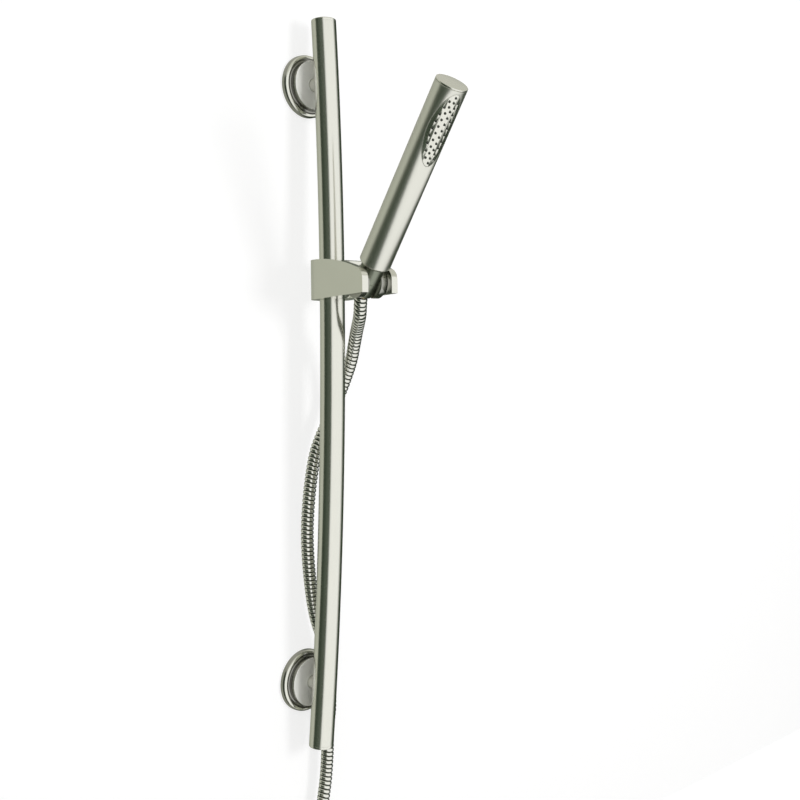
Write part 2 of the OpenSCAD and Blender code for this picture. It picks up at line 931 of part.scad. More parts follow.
// A round of points about a route's point, square to its heading.
function hose_round(route, i) =
  let (t = heading(route, i),
    side = cross(t, [0, 1, 0]) / norm(cross(t, [0, 1, 0])),
    front = cross(side, t))
  [for (k = [0:hose_sides - 1])
    route[i] + hose_r * (cos(k * 360 / hose_sides) * side + sin(k * 360 / hose_sides) * front)];

// A plain tube through the points of a route from one index to another.
module hose_tube(route, from, to) {
  rounds = [for (i = [from:to]) hose_round(route, i)];
  n = hose_sides;
  last = to - from;
  sides = [for (i = [0:last - 1]) for (k = [0:n - 1])
    [i * n + k, (i + 1) * n + k, (i + 1) * n + (k + 1) % n, i * n + (k + 1) % n]];
  start_face = [for (k = [0:n - 1]) k];
  end_face = [for (k = [0:n - 1]) last * n + n - 1 - k];
  color(STEEL)
    polyhedron(
      points = [for (round = rounds) for (p = round) p],
      faces = concat([start_face], sides, [end_face]));
}

module hose_upper() {
  hose_tube(hose_route, 0, hose_split);
}

module hose_lower() {
  hose_tube(hose_route, hose_split, len(hose_route) - 1);
}

module hose_tail() {
  hose_tube(tail_route, 0, len(tail_route) - 1);
}

module coil_ring(grow) {
  translate(coil_centre)
    translate([0, (coil_first_y + coil_last_y) / 2, 0])
      rotate([90, 0, 0])
        rotate_extrude($fn = 96)
          translate([coil_r - coil_section[0] / 2 - grow, -coil_section[1] / 2 - grow])
            square([coil_section[0] + 2 * grow, coil_section[1] + 2 * grow]);
}

module hose_coil() {
  color(STEEL)
    coil_ring(0);
}

// A strap round all the turns, at the top of the coil.
module coil_strap() {
  color(BLACK)
    difference() {
      intersection() {
        coil_ring(strap_t + free_gap);
        translate(coil_centre + [-strap_w / 2, coil_last_y - coil_r, 0])
          cube([strap_w, coil_d, coil_d]);
      }
      coil_ring(free_gap);
    }
}

module at_supply() {
  translate(tail_end)
    mirror([0, 0, 1])
      children();
}

module supply_ferrule() {
  color(BRASS)
    at_supply()
      difference() {
        union() {
          cylinder(r = ferrule_r, h = supply_sleeve);
          translate([0, 0, supply_sleeve - supply_collar_t])
            cylinder(r = thread_r - 2 * seat_fit, h = supply_collar_t);
        }
        translate([0, 0, 2])
          cylinder(r = ferrule_bore_r, h = supply_sleeve, $fn = 32);
      }
}

module supply_nut() {
  color(NICKEL)
    at_supply()
      difference() {
        translate([0, 0, supply_nut_low])
          cylinder(d = supply_nut_af / cos(30), h = supply_nut_h, $fn = 6);
        cylinder(r = ferrule_r + running_fit, h = supply_nut_h);
        translate([0, 0, supply_shoulder])
          cylinder(r = supply_relief_r, h = supply_relief_end - supply_shoulder);
        translate([0, 0, supply_relief_end - 1])
          cylinder(r = thread_r, h = supply_nut_h);
      }
}

module supply_washer() {
  color(RUBBER)
    at_supply()
      translate([0, 0, supply_sleeve + running_fit])
        ring(supply_relief_r - seat_fit, ferrule_bore_r, supply_washer_t);
}

rail_tube();
rail_cap(1);  // rail_cap_top
rail_cap(-1);  // rail_cap_bottom
saddle(1);  // saddle_top
saddle(-1);  // saddle_bottom
post(1);  // post_top
post(-1);  // post_bottom
joining_screw(1);  // joining_screw_top
joining_screw(-1);  // joining_screw_bottom
flange(1);  // flange_top
flange(-1);  // flange_bottom
wall_plate(1);  // wall_plate_top
wall_plate(-1);  // wall_plate_bottom
grub_screw(1);  // grub_screw_top
grub_screw(-1);  // grub_screw_bottom
wall_bolt(1);  // wall_bolt_top
wall_bolt(-1);  // wall_bolt_bottom
slider_fork();
slider_bush();
brake_pad();
brake_springs();
brake_screw();
pivot_pin(-1);  // pivot_pin_near
pivot_pin(1);  // pivot_pin_far
friction_washer(-1);  // friction_washer_near
friction_washer(1);  // friction_washer_far
holder_barrel();
hose_ferrule();
hose_nut();
nut_washer();
handset_shell();
handset_cap();
handset_neck();
neck_o_ring();
flow_limiter();
water_tube();
tube_seal();
spray_chamber();
nozzle_mat();
spray_plate();
hose_upper();
hose_lower();
hose_coil();
coil_strap();
hose_tail();
supply_ferrule();
supply_nut();
supply_washer();
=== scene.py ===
"""Dresses a hand shower, its slide rail and its hose, in satin nickel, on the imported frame."""
import json
from math import asin, atan2, cos, degrees, floor, pi, radians, sin, sqrt

import bpy
from bpy.props import FloatProperty, FloatVectorProperty, IntProperty, PointerProperty
from mathutils import Matrix, Vector


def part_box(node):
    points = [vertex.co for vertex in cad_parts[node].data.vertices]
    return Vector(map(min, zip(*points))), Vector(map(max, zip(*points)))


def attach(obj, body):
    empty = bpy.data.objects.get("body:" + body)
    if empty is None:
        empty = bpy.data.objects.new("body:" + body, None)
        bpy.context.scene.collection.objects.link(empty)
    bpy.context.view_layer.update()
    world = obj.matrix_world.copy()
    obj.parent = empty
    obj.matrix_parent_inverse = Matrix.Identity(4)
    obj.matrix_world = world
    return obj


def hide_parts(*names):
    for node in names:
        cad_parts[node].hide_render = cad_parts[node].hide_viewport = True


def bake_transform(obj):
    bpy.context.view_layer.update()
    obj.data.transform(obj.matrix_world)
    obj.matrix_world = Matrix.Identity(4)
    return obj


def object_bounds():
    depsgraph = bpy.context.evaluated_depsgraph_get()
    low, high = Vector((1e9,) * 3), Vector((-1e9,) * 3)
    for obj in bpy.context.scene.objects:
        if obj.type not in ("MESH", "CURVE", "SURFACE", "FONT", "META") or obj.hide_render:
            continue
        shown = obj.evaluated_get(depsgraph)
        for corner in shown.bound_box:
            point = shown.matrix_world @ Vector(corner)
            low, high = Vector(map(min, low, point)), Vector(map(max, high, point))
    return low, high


bl_info = {
    "name": "Hand shower on a slide rail",
    "version": (1, 0, 0),
    "blender": (4, 5, 0),
    "location": "3D View > Sidebar > Shower",
    "description": "Builds the visible pieces of a hand shower with its rail, slider and hose",
    "category": "Object",
}

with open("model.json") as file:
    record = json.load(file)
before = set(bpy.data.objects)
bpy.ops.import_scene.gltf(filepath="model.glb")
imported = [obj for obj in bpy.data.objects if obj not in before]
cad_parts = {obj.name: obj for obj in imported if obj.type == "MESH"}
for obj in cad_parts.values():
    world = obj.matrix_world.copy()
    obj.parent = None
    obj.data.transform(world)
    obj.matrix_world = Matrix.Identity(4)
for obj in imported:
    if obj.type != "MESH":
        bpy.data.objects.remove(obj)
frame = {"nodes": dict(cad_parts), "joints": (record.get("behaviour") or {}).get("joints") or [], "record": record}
CAD_BOX = [list(corner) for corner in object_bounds()]
JOINTS = {joint["name"]: joint for joint in frame["joints"]}
WALL_SIDES = {"top": 1, "bottom": -1}
STANDING = Matrix.Rotation(pi / 2, 4, "X")


# ---- places, all read from the frame's joints ----


def axes_at(origin, z_axis, x_axis):
    """A frame at a point, with Z along one direction and X as near as it can be to another."""
    z = Vector(z_axis).normalized()
    x = Vector(x_axis)
    x = (x - z * x.dot(z)).normalized()
    turn = Matrix((x, z.cross(x), z)).transposed().to_4x4()
    return Matrix.Translation(Vector(origin)) @ turn


ARC_CENTRE = Vector(JOINTS["slide_on_rail"]["pos_m"])
SLIDER_AT = Vector(JOINTS["swing_on_rail"]["pos_m"])
PIVOT_AT = Vector(JOINTS["tilt_holder"]["pos_m"])
TILT_AXIS = JOINTS["tilt_holder"]["axis"]
HANDSET_AXIS = JOINTS["turn_handset"]["axis"]
BOW_RADIUS = (SLIDER_AT - ARC_CENTRE).length
SLIDER_FRAME = axes_at(SLIDER_AT, JOINTS["swing_on_rail"]["axis"], TILT_AXIS)
BARREL_FRAME = Matrix.Translation(PIVOT_AT) @ SLIDER_FRAME.to_3x3().to_4x4()
HOLDER_FRAME = axes_at(PIVOT_AT, HANDSET_AXIS, TILT_AXIS)
SUPPLY_AT = Vector(JOINTS["turn_supply_nut"]["pos_m"])
FERRULE_RISE = 0.008


def raised(height):
    """A move along Z."""
    return Matrix.Translation((0, 0, height))


SUPPLY_FRAME = Matrix.Translation(SUPPLY_AT) @ raised(FERRULE_RISE) @ Matrix.Rotation(pi, 4, "X")


def on_rail(angle):
    """The frame on the rail's middle line at an angle of its arc, with Z along the rail."""
    bent = Matrix.Rotation(-angle, 4, "X") @ Matrix.Translation((0, -BOW_RADIUS, 0))
    return Matrix.Translation(ARC_CENTRE) @ bent


def handset_frame():
    """The handset's own frame: Z up its axis from the holder, and the spray towards -Y."""
    turn = bpy.context.scene.handset_sizes.turn
    return HOLDER_FRAME @ Matrix.Rotation(turn, 4, "Z")


def bracket_frame(end):
    """A bracket's frame on the wall, with Z towards the room."""
    flange_low, flange_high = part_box("flange_" + end)
    return raised((flange_low.z + flange_high.z) / 2) @ STANDING


# ---- sizes and colours ----


def number(name, description, default, **kind):
    return FloatProperty(name=name, description=description, default=default, **kind)


def length(name, description, default):
    return number(name, description, default, unit="LENGTH", precision=5)


def count(name, description, default):
    return IntProperty(name=name, description=description, default=default)


def tint(name, description, default):
    return FloatVectorProperty(name=name, description=description, default=default, subtype="COLOR")


class RailSizes(bpy.types.PropertyGroup):
    """Sizes of the rail and its two brackets."""

    radius: length("Rail radius", "Outside radius of the bowed tube", 0.0125)
    long: length("Rail length", "Height of the rail from end to end", 0.734)
    cap: length("End cap", "Thickness of an end cap outside the tube", 0.003)
    post_radius: length("Post radius", "Radius of the post between flange and rail", 0.00675)
    flange_radius: length("Flange radius", "Outside radius of a flange's rim", 0.0315)
    rim_depth: length("Rim depth", "Depth of a flange's rim from the wall", 0.0065)
    rim_edge: length("Rim edge", "Radius of the rounded edge of a flange's rim", 0.0032)
    face_radius: length("Face radius", "Radius of a flange's raised face", 0.02475)
    face_depth: length("Face depth", "Depth of a flange from the wall to its face", 0.0134)
    bolt_radius: length("Bolt radius", "Radius of a wall bolt over its thread", 0.003)
    bolt_length: length("Bolt length", "Length of a wall bolt behind the wall's face", 0.045)
    steps: count("Steps", "Steps along the bow of the rail", 90)


class SliderSizes(bpy.types.PropertyGroup):
    """Sizes of the slider and of the barrel that holds the handset."""

    width: length("Width", "Width of the slider across its two arms", 0.042)
    height: length("Height", "Height of the slider at the rail", 0.0395)
    nose_reach: length("Nose reach", "Distance from the rail's middle to the front of the arms", 0.08)
    bottom_rise: length("Bottom rise", "Rise of the bottom edge from the rail to the nose", 0.003)
    top_radius: length("Top edge radius", "Radius of the sloping top edge", 0.215)
    corner_radius: length("Nose corner radius", "Radius of the corner over the nose", 0.012)
    arm: length("Arm", "Thickness of an arm", 0.007)
    web_front: length("Web front", "Distance from the rail's middle to the bottom of the slot", 0.039)
    bore: length("Bore radius", "Radius of the opening round the rail", 0.01308)
    barrel_radius: length("Barrel radius", "Radius of the tilting barrel", 0.015)
    barrel_width: length("Barrel width", "Width of the barrel between the arms", 0.0268)
    barrel_slot: length("Barrel slot", "Width of the slot that lets the hose out", 0.0145)
    edge: length("Edge", "Width of the rounded edges", 0.0011)
    hose_room: length("Hose room", "Half the width of the room left for the hose under the web", 0.0071)


class HandsetSizes(bpy.types.PropertyGroup):
    """Sizes of the handset, its spray plate and its nut."""

    radius: length("Handset radius", "Outside radius of the handset", 0.0155)
    wall: length("Handset wall", "Thickness of the handset's wall", 0.0015)
    seat: length("Seat", "Distance from the holder's axis to the handset's lower end", 0.0215)
    top: length("Top", "Distance from the holder's axis to the handset's top", 0.214)
    cap: length("Cap", "Thickness of the end cap outside the tube", 0.002)
    low_edge: length("Lower edge", "Chamfer of the handset's lower edge", 0.0016)
    turn: number("Turn", "Turn of the spray towards one side", radians(-7), subtype="ANGLE")
    plate_middle: length("Plate middle", "Distance from the holder's axis to the plate's middle", 0.1733)
    plate_length: length("Plate length", "Length of the oval spray plate", 0.0724)
    plate_width: length("Plate width", "Width of the oval spray plate", 0.0255)
    field_flatness: number("Field flatness", "How much flatter the plate's middle looks, per metre", 6.0)
    nozzle: length("Nozzle radius", "Radius of a nozzle where it leaves the plate", 0.001)
    stand: length("Nozzle stand", "How far a nozzle stands out of the plate", 0.0009)
    nut_low: length("Nut's lower end", "Place of the nut's lower end along the handset's axis", -0.012)
    nut_top: length("Nut's upper end", "Place of the nut's upper end along the handset's axis", 0.021)
    cone_radius: length("Cone radius", "Radius of the nut's cone at the holder's axis", 0.01075)
    cone_slope: number("Cone slope", "Growth of the cone's radius with height", 0.06)


class HoseSizes(bpy.types.PropertyGroup):
    """Sizes of the wound metal hose and its ends."""

    radius: length("Hose radius", "Radius over the hose's ribs", 0.0065)
    pitch: length("Rib pitch", "Distance from one rib to the next", 0.0043)
    groove: length("Groove", "Depth of the groove between two ribs", 0.0010)
    coil_radius: length("Coil radius", "Radius of the coil at the middle of its turns", 0.069)
    coil_pitch: length("Coil pitch", "Distance between two turns of the coil", 0.0136)
    coil_turns: count("Turns", "Number of turns in the coil", 2)
    bend: length("Bend length", "Length of the hose that follows one joint above the rail", 0.08)
    sides: count("Sides", "Sides round the hose", 24)


class Finishes(bpy.types.PropertyGroup):
    """Colours of the finishes."""

    nickel: tint("Nickel", "Colour of the satin nickel", (0.80, 0.80, 0.745))
    hose: tint("Hose", "Colour of the hose's steel strip", (0.80, 0.80, 0.76))
    # Painted shade: the near-black colour that darkens the hose's grooves.
    groove: tint("Groove", "Colour in the hose's grooves", (0.035, 0.045, 0.03))
    rubber: tint("Rubber", "Colour of the nozzles and seals", (0.075, 0.085, 0.07))
    steel: tint("Steel", "Colour of bolts and screws", (0.62, 0.63, 0.64))
    brass: tint("Brass", "Colour of the turned brass", (0.76, 0.60, 0.30))
    plastic: tint("Plastic", "Colour of the pale plastic", (0.78, 0.78, 0.74))
    black: tint("Black", "Colour of the black plastic", (0.022, 0.022, 0.022))


def finishes():
    return bpy.context.scene.shower_finishes


# ---- materials ----


class Wire:
    """One output in a node tree. Arithmetic on it adds Math nodes."""

    def __init__(self, tree, socket):
        self.tree = tree
        self.socket = socket

    def math(self, operation, *others):
        """One Math node, with this wire as its first value."""
        node = self.tree.nodes.new("ShaderNodeMath")
        node.operation = operation
        for entry, value in zip(node.inputs, (self, *others)):
            join(self.tree, value, entry)
        return Wire(self.tree, node.outputs[0])

    def __add__(self, other):
        return self.math("ADD", other)

    __radd__ = __add__

    def __mul__(self, other):
        return self.math("MULTIPLY", other)

    __rmul__ = __mul__

    def __sub__(self, other):
        return self.math("SUBTRACT", other)

    def __rsub__(self, other):
        return self.math("MULTIPLY_ADD", -1, other)

    def __truediv__(self, other):
        return self.math("DIVIDE", other)

    def over(self, low, high):
        """0 below low, 1 above high and smooth between."""
        node = self.tree.nodes.new("ShaderNodeMapRange")
        node.interpolation_type = "SMOOTHSTEP"
        join(self.tree, self, node.inputs["Value"])
        node.inputs["From Min"].default_value = low
        node.inputs["From Max"].default_value = high
        return Wire(self.tree, node.outputs[0])


def join(tree, value, entry):
    """Links a wire to a socket, or writes a plain value on it."""
    if isinstance(value, Wire):
        tree.links.new(value.socket, entry)
    else:
        entry.default_value = value


class Shading:
    """The node tree of one material or of the world."""

    def __init__(self, owner):
        owner.use_nodes = True
        self.owner = owner
        self.tree = owner.node_tree
        self.tree.nodes.clear()

    def node(self, kind, settings=None, output=0, **values):
        """Adds one node: its settings first, then its sockets by name with _ for a space, or as i0 and on."""
        made = self.tree.nodes.new("ShaderNode" + kind)
        for name, value in (settings or {}).items():
            setattr(made, name, value)
        for name, value in values.items():
            key = int(name[1:]) if name[0] == "i" and name[1:].isdigit() else name.replace("_", " ")
            join(self.tree, value, made.inputs[key])
        return Wire(self.tree, made.outputs[output])

    def vector(self, operation, first, second=(0, 0, 0), output=0):
        """One VectorMath node. Its first output is a vector and its Value a number."""
        return self.node("VectorMath", {"operation": operation}, output, i0=first, i1=tuple(second))

    def where(self):
        """The object's own coordinates."""
        return self.node("TexCoord", output="Object")

    def parts(self, place):
        """The three coordinates of a place."""
        return [self.node("SeparateXYZ", output=i, Vector=place) for i in range(3)]

    def blend_colours(self, factor, first, second):
        """The first colour where the factor is 0 and the second where it is 1."""
        made = self.tree.nodes.new("ShaderNodeMix")
        made.data_type = "RGBA"
        # The sockets that a Mix node uses for colours.
        for index, value in ((0, factor), (6, first), (7, second)):
            join(self.tree, value, made.inputs[index])
        return Wire(self.tree, made.outputs[2])

    def tones(self, factor, colour, low, high):
        """A colour's tones, from one share of it to another."""
        return self.blend_colours(factor, rgba(colour, low), rgba(colour, high))

    def noise(self, stretch, detail=2.0, turn=(0, 0, 0)):
        """Noise in the object's own coordinates, turned and then stretched."""
        point = {"vector_type": "POINT"}
        turned_place = self.node("Mapping", point, Vector=self.where(), Rotation=turn)
        place = self.node("Mapping", point, Vector=turned_place, Scale=stretch)
        return self.node("TexNoise", Vector=place, Scale=1.0, Detail=detail)

    def rings(self, radius):
        """Fine rings at a distance from an axis."""
        per_metre = 5200
        return self.node("TexNoise", {"noise_dimensions": "1D"}, W=radius * per_metre, Scale=1.0, Detail=2.0)

    def radius_round(self, centre, axis):
        """The distance from an axis through a point."""
        moved = self.vector("SUBTRACT", self.where(), centre)
        return self.vector("LENGTH", self.vector("CROSS_PRODUCT", moved, axis), output="Value")

    def surface(self, tone, roughness, height, strength, distance=0.0002, metallic=1.0):
        """Ends a material with a bump and the main shader, and gives the material back."""
        bump = self.node("Bump", Strength=strength, Distance=distance, Height=height)
        looks = {"Base_Color": tone, "Metallic": metallic, "Roughness": roughness, "Normal": bump}
        return self.finish(self.node("BsdfPrincipled", **looks))

    def finish(self, shader, kind="Material"):
        """Ends a tree, and gives back the material or world that it belongs to."""
        end = self.tree.nodes.new("ShaderNodeOutput" + kind)
        join(self.tree, shader, end.inputs["Surface"])
        return self.owner


def rgba(colour, share=1.0):
    return (colour[0] * share, colour[1] * share, colour[2] * share, 1.0)


def new_shading(name):
    return Shading(bpy.data.materials.new(name))


def brushed_nickel(name, along, roughness=0.2, grain=1.0, painted_shade_toning=1.0):
    """Satin nickel, brushed along a direction."""
    shading = new_shading(name)
    tilt = Vector((0, 0, 1)).rotation_difference(Vector(along)).inverted().to_euler()
    lines = shading.noise((2600, 2600, 24), 3.0, tuple(tilt))
    cloud = shading.noise((22, 22, 22))
    specks = shading.noise((420, 420, 420))
    # Below 1, the last argument darkens every tone of the nickel: painted shade.
    tone = shading.tones(lines * 0.45 + cloud * 0.55, finishes().nickel, 0.93 * painted_shade_toning, 1.05 * painted_shade_toning)
    rough = roughness + (lines - 0.5) * 0.08 + (cloud - 0.5) * 0.05 + specks.over(0.62, 0.8) * 0.06
    return shading.surface(tone, rough, lines, 0.05 * grain)


def turned_nickel(name, centre, axis, roughness, painted_shade_toning):
    """Satin nickel with fine rings round an axis, as on a face cut in a lathe."""
    # The last argument darkens the nickel's tone, colour by colour: painted shade.
    colour = [part * tone for part, tone in zip(finishes().nickel, painted_shade_toning)]
    shading = new_shading(name)
    rings = shading.rings(shading.radius_round(centre, axis))
    cloud = shading.noise((60, 60, 60))
    tone = shading.tones(rings * 0.6 + cloud * 0.4, colour, 0.9, 1.06)
    rough = roughness + (rings - 0.5) * 0.1 + (cloud - 0.5) * 0.05
    return shading.surface(tone, rough, rings, 0.06)


def flange_nickel(name, centre, sizes):
    """A flange's nickel: a near-white, mostly unmetallic face as painted sheen, and painted shade in the groove
    and on the rim's side.
    """
    colour = finishes().nickel
    shading = new_shading(name)
    radius = shading.radius_round(centre, (0, 1, 0))
    depth = 0 - shading.parts(shading.where())[1]
    rings = shading.rings(radius)
    face = depth.over(sizes.face_depth - 0.0007, sizes.face_depth - 0.0003)
    inner, outer = sizes.face_radius - 0.0004, sizes.face_radius + 0.0032
    groove = radius.over(inner, inner + 0.0005) * (1 - radius.over(outer - 0.0008, outer))
    rim = radius.over(sizes.flange_radius - 0.0012, sizes.flange_radius - 0.0002)
    tone = shading.tones(rings, colour, 0.92, 1.05)
    # Painted shade: the groove is darkened to 36% and the rim's side to half of the nickel's colour.
    tone = shading.blend_colours(groove, tone, rgba(colour, 0.36))
    tone = shading.blend_colours(rim * (1 - groove), tone, rgba(colour, 0.5))
    # Painted sheen: the face turns near-white, standing in for a bright reflection.
    tone = shading.blend_colours(face, tone, (0.97, 0.97, 0.93, 1))
    rough = 0.17 + (rings - 0.5) * 0.1 + face * 0.3
    # The face's low metallic is part of its painted sheen.
    return shading.surface(tone, rough, rings, 0.06, metallic=1 - face * 0.75)


def plate_nickel(name, place, sizes):
    """The spray plate's nickel: a flatter field in the middle, and a dull rim along the oval's edge."""
    shading = new_shading(name)
    moved = shading.vector("SUBTRACT", shading.where(), place @ Vector((0, 0, sizes.plate_middle)))
    across = shading.vector("DOT_PRODUCT", moved, place.col[0].to_3d(), "Value")
    along = shading.vector("DOT_PRODUCT", moved, place.col[2].to_3d(), "Value")
    half_w, half_l = sizes.plate_width / 2, sizes.plate_length / 2
    # Each share is 1 on the oval's edge, and the distance is measured in from there.
    u, v = across * (1 / half_w), along * (1 / half_l)
    share = (u * u + v * v).math("SQRT")
    steepness = u * u * (1 / half_w**2) + v * v * (1 / half_l**2) + 1e-9
    inward = (1 - share) * share / steepness.math("SQRT")
    rim = 1 - inward.over(0.0005, 0.0008)
    lines = shading.noise((900, 900, 900), 3.0)
    field = 1 - share.over(0.72, 0.9)
    flatter = across * across * sizes.field_flatness * field
    tone = shading.tones(lines, finishes().nickel, 0.95, 1.05)
    rough = 0.2 + (lines - 0.5) * 0.08 + rim * 0.42
    return shading.surface(tone, rough, flatter + lines * 0.000002, 1.0, distance=1.0)


def hose_metal():
    """Bright wound strip with painted shade darkening its grooves, from the hose's own groove attribute."""
    shading = new_shading("hose_strip")
    depth = shading.node("Attribute", {"attribute_name": "groove"}, output="Fac")
    grain_and_shade_jitter = shading.noise((300, 300, 300))
    # Painted shade: the groove colour darkens the strip where it lies deep, with a noisy edge.
    dark = (depth + (grain_and_shade_jitter - 0.5) * 0.2).over(0.2, 0.75)
    tone = shading.blend_colours(dark, rgba(finishes().hose), rgba(finishes().groove))
    return shading.surface(tone, 0.11 + grain_and_shade_jitter * 0.06 + depth * 0.3, grain_and_shade_jitter, 0.08)


def plain_metal(name, colour, roughness, scale):
    """Machined metal with fine irregular marks and a little tarnish."""
    shading = new_shading(name)
    marks = shading.noise((scale, scale, scale * 0.2), 4.0)
    tarnish = shading.noise((90, 90, 90), 3.0)
    tone = shading.tones(tarnish.over(0.35, 0.75), colour, 1.0, 0.78)
    rough = roughness + (marks - 0.5) * 0.15 + tarnish.over(0.4, 0.8) * 0.12
    return shading.surface(tone, rough, marks, 0.12)


def moulded(name, colour, roughness, scale):
    """Moulded plastic or rubber with a fine even grain."""
    shading = new_shading(name)
    grain = shading.noise((scale, scale, scale), 3.0)
    tone = shading.tones(shading.noise((70, 70, 70)), colour, 0.88, 1.1)
    return shading.surface(tone, roughness + (grain - 0.5) * 0.15, grain, 0.18, metallic=0.0)


# A maker, a roughness and a scale for each finish that several pieces share.
SHARED_FINISHES = {
    "steel": (plain_metal, 0.3, 1500),
    "brass": (plain_metal, 0.26, 1300),
    "rubber": (moulded, 0.48, 2200),
    "plastic": (moulded, 0.42, 1500),
    "black": (moulded, 0.45, 1700),
}


def finish_named(key):
    """A finish by its name, made once and then shared."""
    name = "finish_" + key
    maker, roughness, scale = SHARED_FINISHES[key]
    return bpy.data.materials.get(name) or maker(name, getattr(finishes(), key), roughness, scale)


def coat(piece, material):
    """Gives a piece one material in place of those it has."""
    piece.data.materials.clear()
    piece.data.materials.append(material)


def dress(piece, material, body, slot, *nodes):
    """Gives a finished piece its material and body, and hides the CAD nodes that it stands for. Its slot is not
    used.
    """
    coat(piece, material)
    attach(piece, body)
    if nodes:
        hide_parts(*nodes)
    return piece


# ---- modelling ----


def clear_selection():
    bpy.ops.object.select_all(action="DESELECT")


def added(name, add, **values):
    """The object that one of the primitive operators adds."""
    clear_selection()
    add(**values)
    bpy.context.object.name = name
    return bpy.context.object


def only(piece):
    """Selects one piece and makes it the active one."""
    clear_selection()
    piece.select_set(True)
    bpy.context.view_layer.objects.active = piece


def linked(name, data):
    """A new object in the scene, for a mesh, a camera or a lamp."""
    made = bpy.data.objects.new(name, data)
    bpy.context.scene.collection.objects.link(made)
    return made


def open_all(piece, kind=None):
    """Opens a piece in edit mode with all of it selected, as one kind of element if one is given."""
    only(piece)
    bpy.ops.object.mode_set(mode="EDIT")
    if kind:
        bpy.ops.mesh.select_mode(type=kind)
    bpy.ops.mesh.select_all(action="SELECT")


def close():
    bpy.ops.object.mode_set(mode="OBJECT")


def shade_round(piece, angle):
    """Shades a piece smooth where its faces meet at less than an angle in degrees."""
    only(piece)
    bpy.ops.object.shade_smooth_by_angle(angle=radians(angle))
    return piece


def merge(pieces):
    """Merges pieces into the first one."""
    only(pieces[0])
    for piece in pieces:
        piece.select_set(True)
    bpy.ops.object.join()
    return pieces[0]


def settle(piece, matrix=None):
    """Moves a piece to its place and applies that place to its mesh."""
    only(piece)
    piece.matrix_world = (matrix or Matrix.Identity(4)) @ piece.matrix_world
    bpy.ops.object.transform_apply(location=True, rotation=True, scale=True)
    return piece


def tidy_mesh(piece, angle=32):
    """Merges doubled points, turns all faces outwards and shades the round ones smooth."""
    open_all(piece)
    bpy.ops.mesh.remove_doubles(threshold=2e-7)
    bpy.ops.mesh.normals_make_consistent(inside=False)
    close()
    return shade_round(piece, angle)


def turned(name, profile, sides=96, place=None):
    """A piece turned round a place's Z, from points of radius and height. A radius of 0 closes it."""
    closed = 1e-8
    rings = [(max(r, closed), z) for r, z in profile]
    radius, height = rings[0]
    circle = {"vertices": sides, "radius": radius, "location": (0, 0, height)}
    piece = added(name, bpy.ops.mesh.primitive_circle_add, **circle)
    open_all(piece, "EDGE")
    for (r0, z0), (r1, z1) in zip(rings, rings[1:]):
        bpy.ops.mesh.extrude_edges_move(TRANSFORM_OT_translate={"value": (0, 0, z1 - z0)})
        bpy.ops.transform.resize(value=(r1 / r0, r1 / r0, 1), center_override=(0, 0, z1))
    close()
    return settle(tidy_mesh(settle(piece)), place)


def arc(centre, radius, start, end, steps):
    """Points on a round edge, from one angle to another in degrees."""
    angles = [radians(start + (end - start) * i / steps) for i in range(steps + 1)]
    return [(centre[0] + radius * cos(a), centre[1] + radius * sin(a)) for a in angles]


def prism(name, outline, height, matrix):
    """A flat face of the given outline, extruded along its Z."""
    circle = {"vertices": len(outline), "radius": 1, "fill_type": "NGON"}
    piece = added(name, bpy.ops.mesh.primitive_circle_add, **circle)
    for vertex, point in zip(piece.data.vertices, outline):
        vertex.co = (point[0], point[1], 0)
    open_all(piece)
    bpy.ops.mesh.extrude_region_move(TRANSFORM_OT_translate={"value": (0, 0, height)})
    bpy.ops.mesh.select_all(action="SELECT")
    bpy.ops.mesh.normals_make_consistent(inside=False)
    close()
    return settle(piece, matrix)


def rectangle(half, low, high):
    """A rectangle's outline, as wide on either side of the Y axis."""
    return [(-half, low), (half, low), (half, high), (-half, high)]


def sleeve(name, inner, outer, low, high, sides):
    """A plain tube round Z."""
    return turned(name, [(inner, low), (outer, low), (outer, high), (inner, high), (inner, low)], sides)


def cylinder(name, radius, low, high, matrix, sides=96, top_radius=None):
    """A cylinder between two heights of a frame, or a cone if its top has a radius of its own."""
    radii = {"radius1": radius, "radius2": radius if top_radius is None else top_radius}
    span = {"depth": high - low, "location": (0, 0, (low + high) / 2)}
    return settle(added(name, bpy.ops.mesh.primitive_cone_add, vertices=sides, **radii, **span), matrix)


def combine(piece, other, operation="DIFFERENCE"):
    """Cuts a piece with another one, which is used up, or keeps what both share."""
    only(piece)
    modifier = piece.modifiers.new("combine", "BOOLEAN")
    modifier.operation = operation
    modifier.solver = "EXACT"
    modifier.object = other
    bpy.ops.object.modifier_apply(modifier="combine")
    bpy.data.objects.remove(other)
    return piece


def round_edges(piece, width, segments=3, angle=30):
    """Rounds the sharp edges of a piece."""
    only(piece)
    modifier = piece.modifiers.new("edges", "BEVEL")
    modifier.width = width
    modifier.segments = segments
    modifier.limit_method = "ANGLE"
    modifier.angle_limit = radians(angle)
    modifier.harden_normals = False
    modifier.use_clamp_overlap = True
    bpy.ops.object.modifier_apply(modifier="edges")
    return piece


def from_cad(node, edge):
    """A copy of a CAD node with its faces merged, its edges eased and its round faces smooth."""
    piece = linked(node + "_dressed", frame["nodes"][node].data.copy())
    open_all(piece)
    bpy.ops.mesh.remove_doubles(threshold=1e-6)
    bpy.ops.mesh.dissolve_limited(angle_limit=radians(0.5))
    close()
    return shade_round(round_edges(piece, edge, 2, 40), 32)


def dress_cad(node, body, finish, edge=0.0002):
    """A CAD node's copy in a shared finish."""
    return dress(from_cad(node, edge), finish_named(finish), body, finish, node)


def crimped(name, end, inside, collar, wide, place):
    """A brass ferrule: its crimped sleeve from one end, and the collar that its nut pulls on."""
    r, mouth, bore, (low, high) = 0.007, 0.0058, 0.004, collar
    waist = r - 0.0004
    profile = [(mouth, end), (waist, end), (r, end + 0.0004), (r, end + 0.0012), (waist, end + 0.0015)]
    profile += [(waist, end + 0.0019), (r, end + 0.0022), (r, low), (wide, low), (wide, high)]
    profile += [(bore, high), (bore, inside)]
    return turned(name, profile, 64, place)


# ---- the rail and its brackets ----


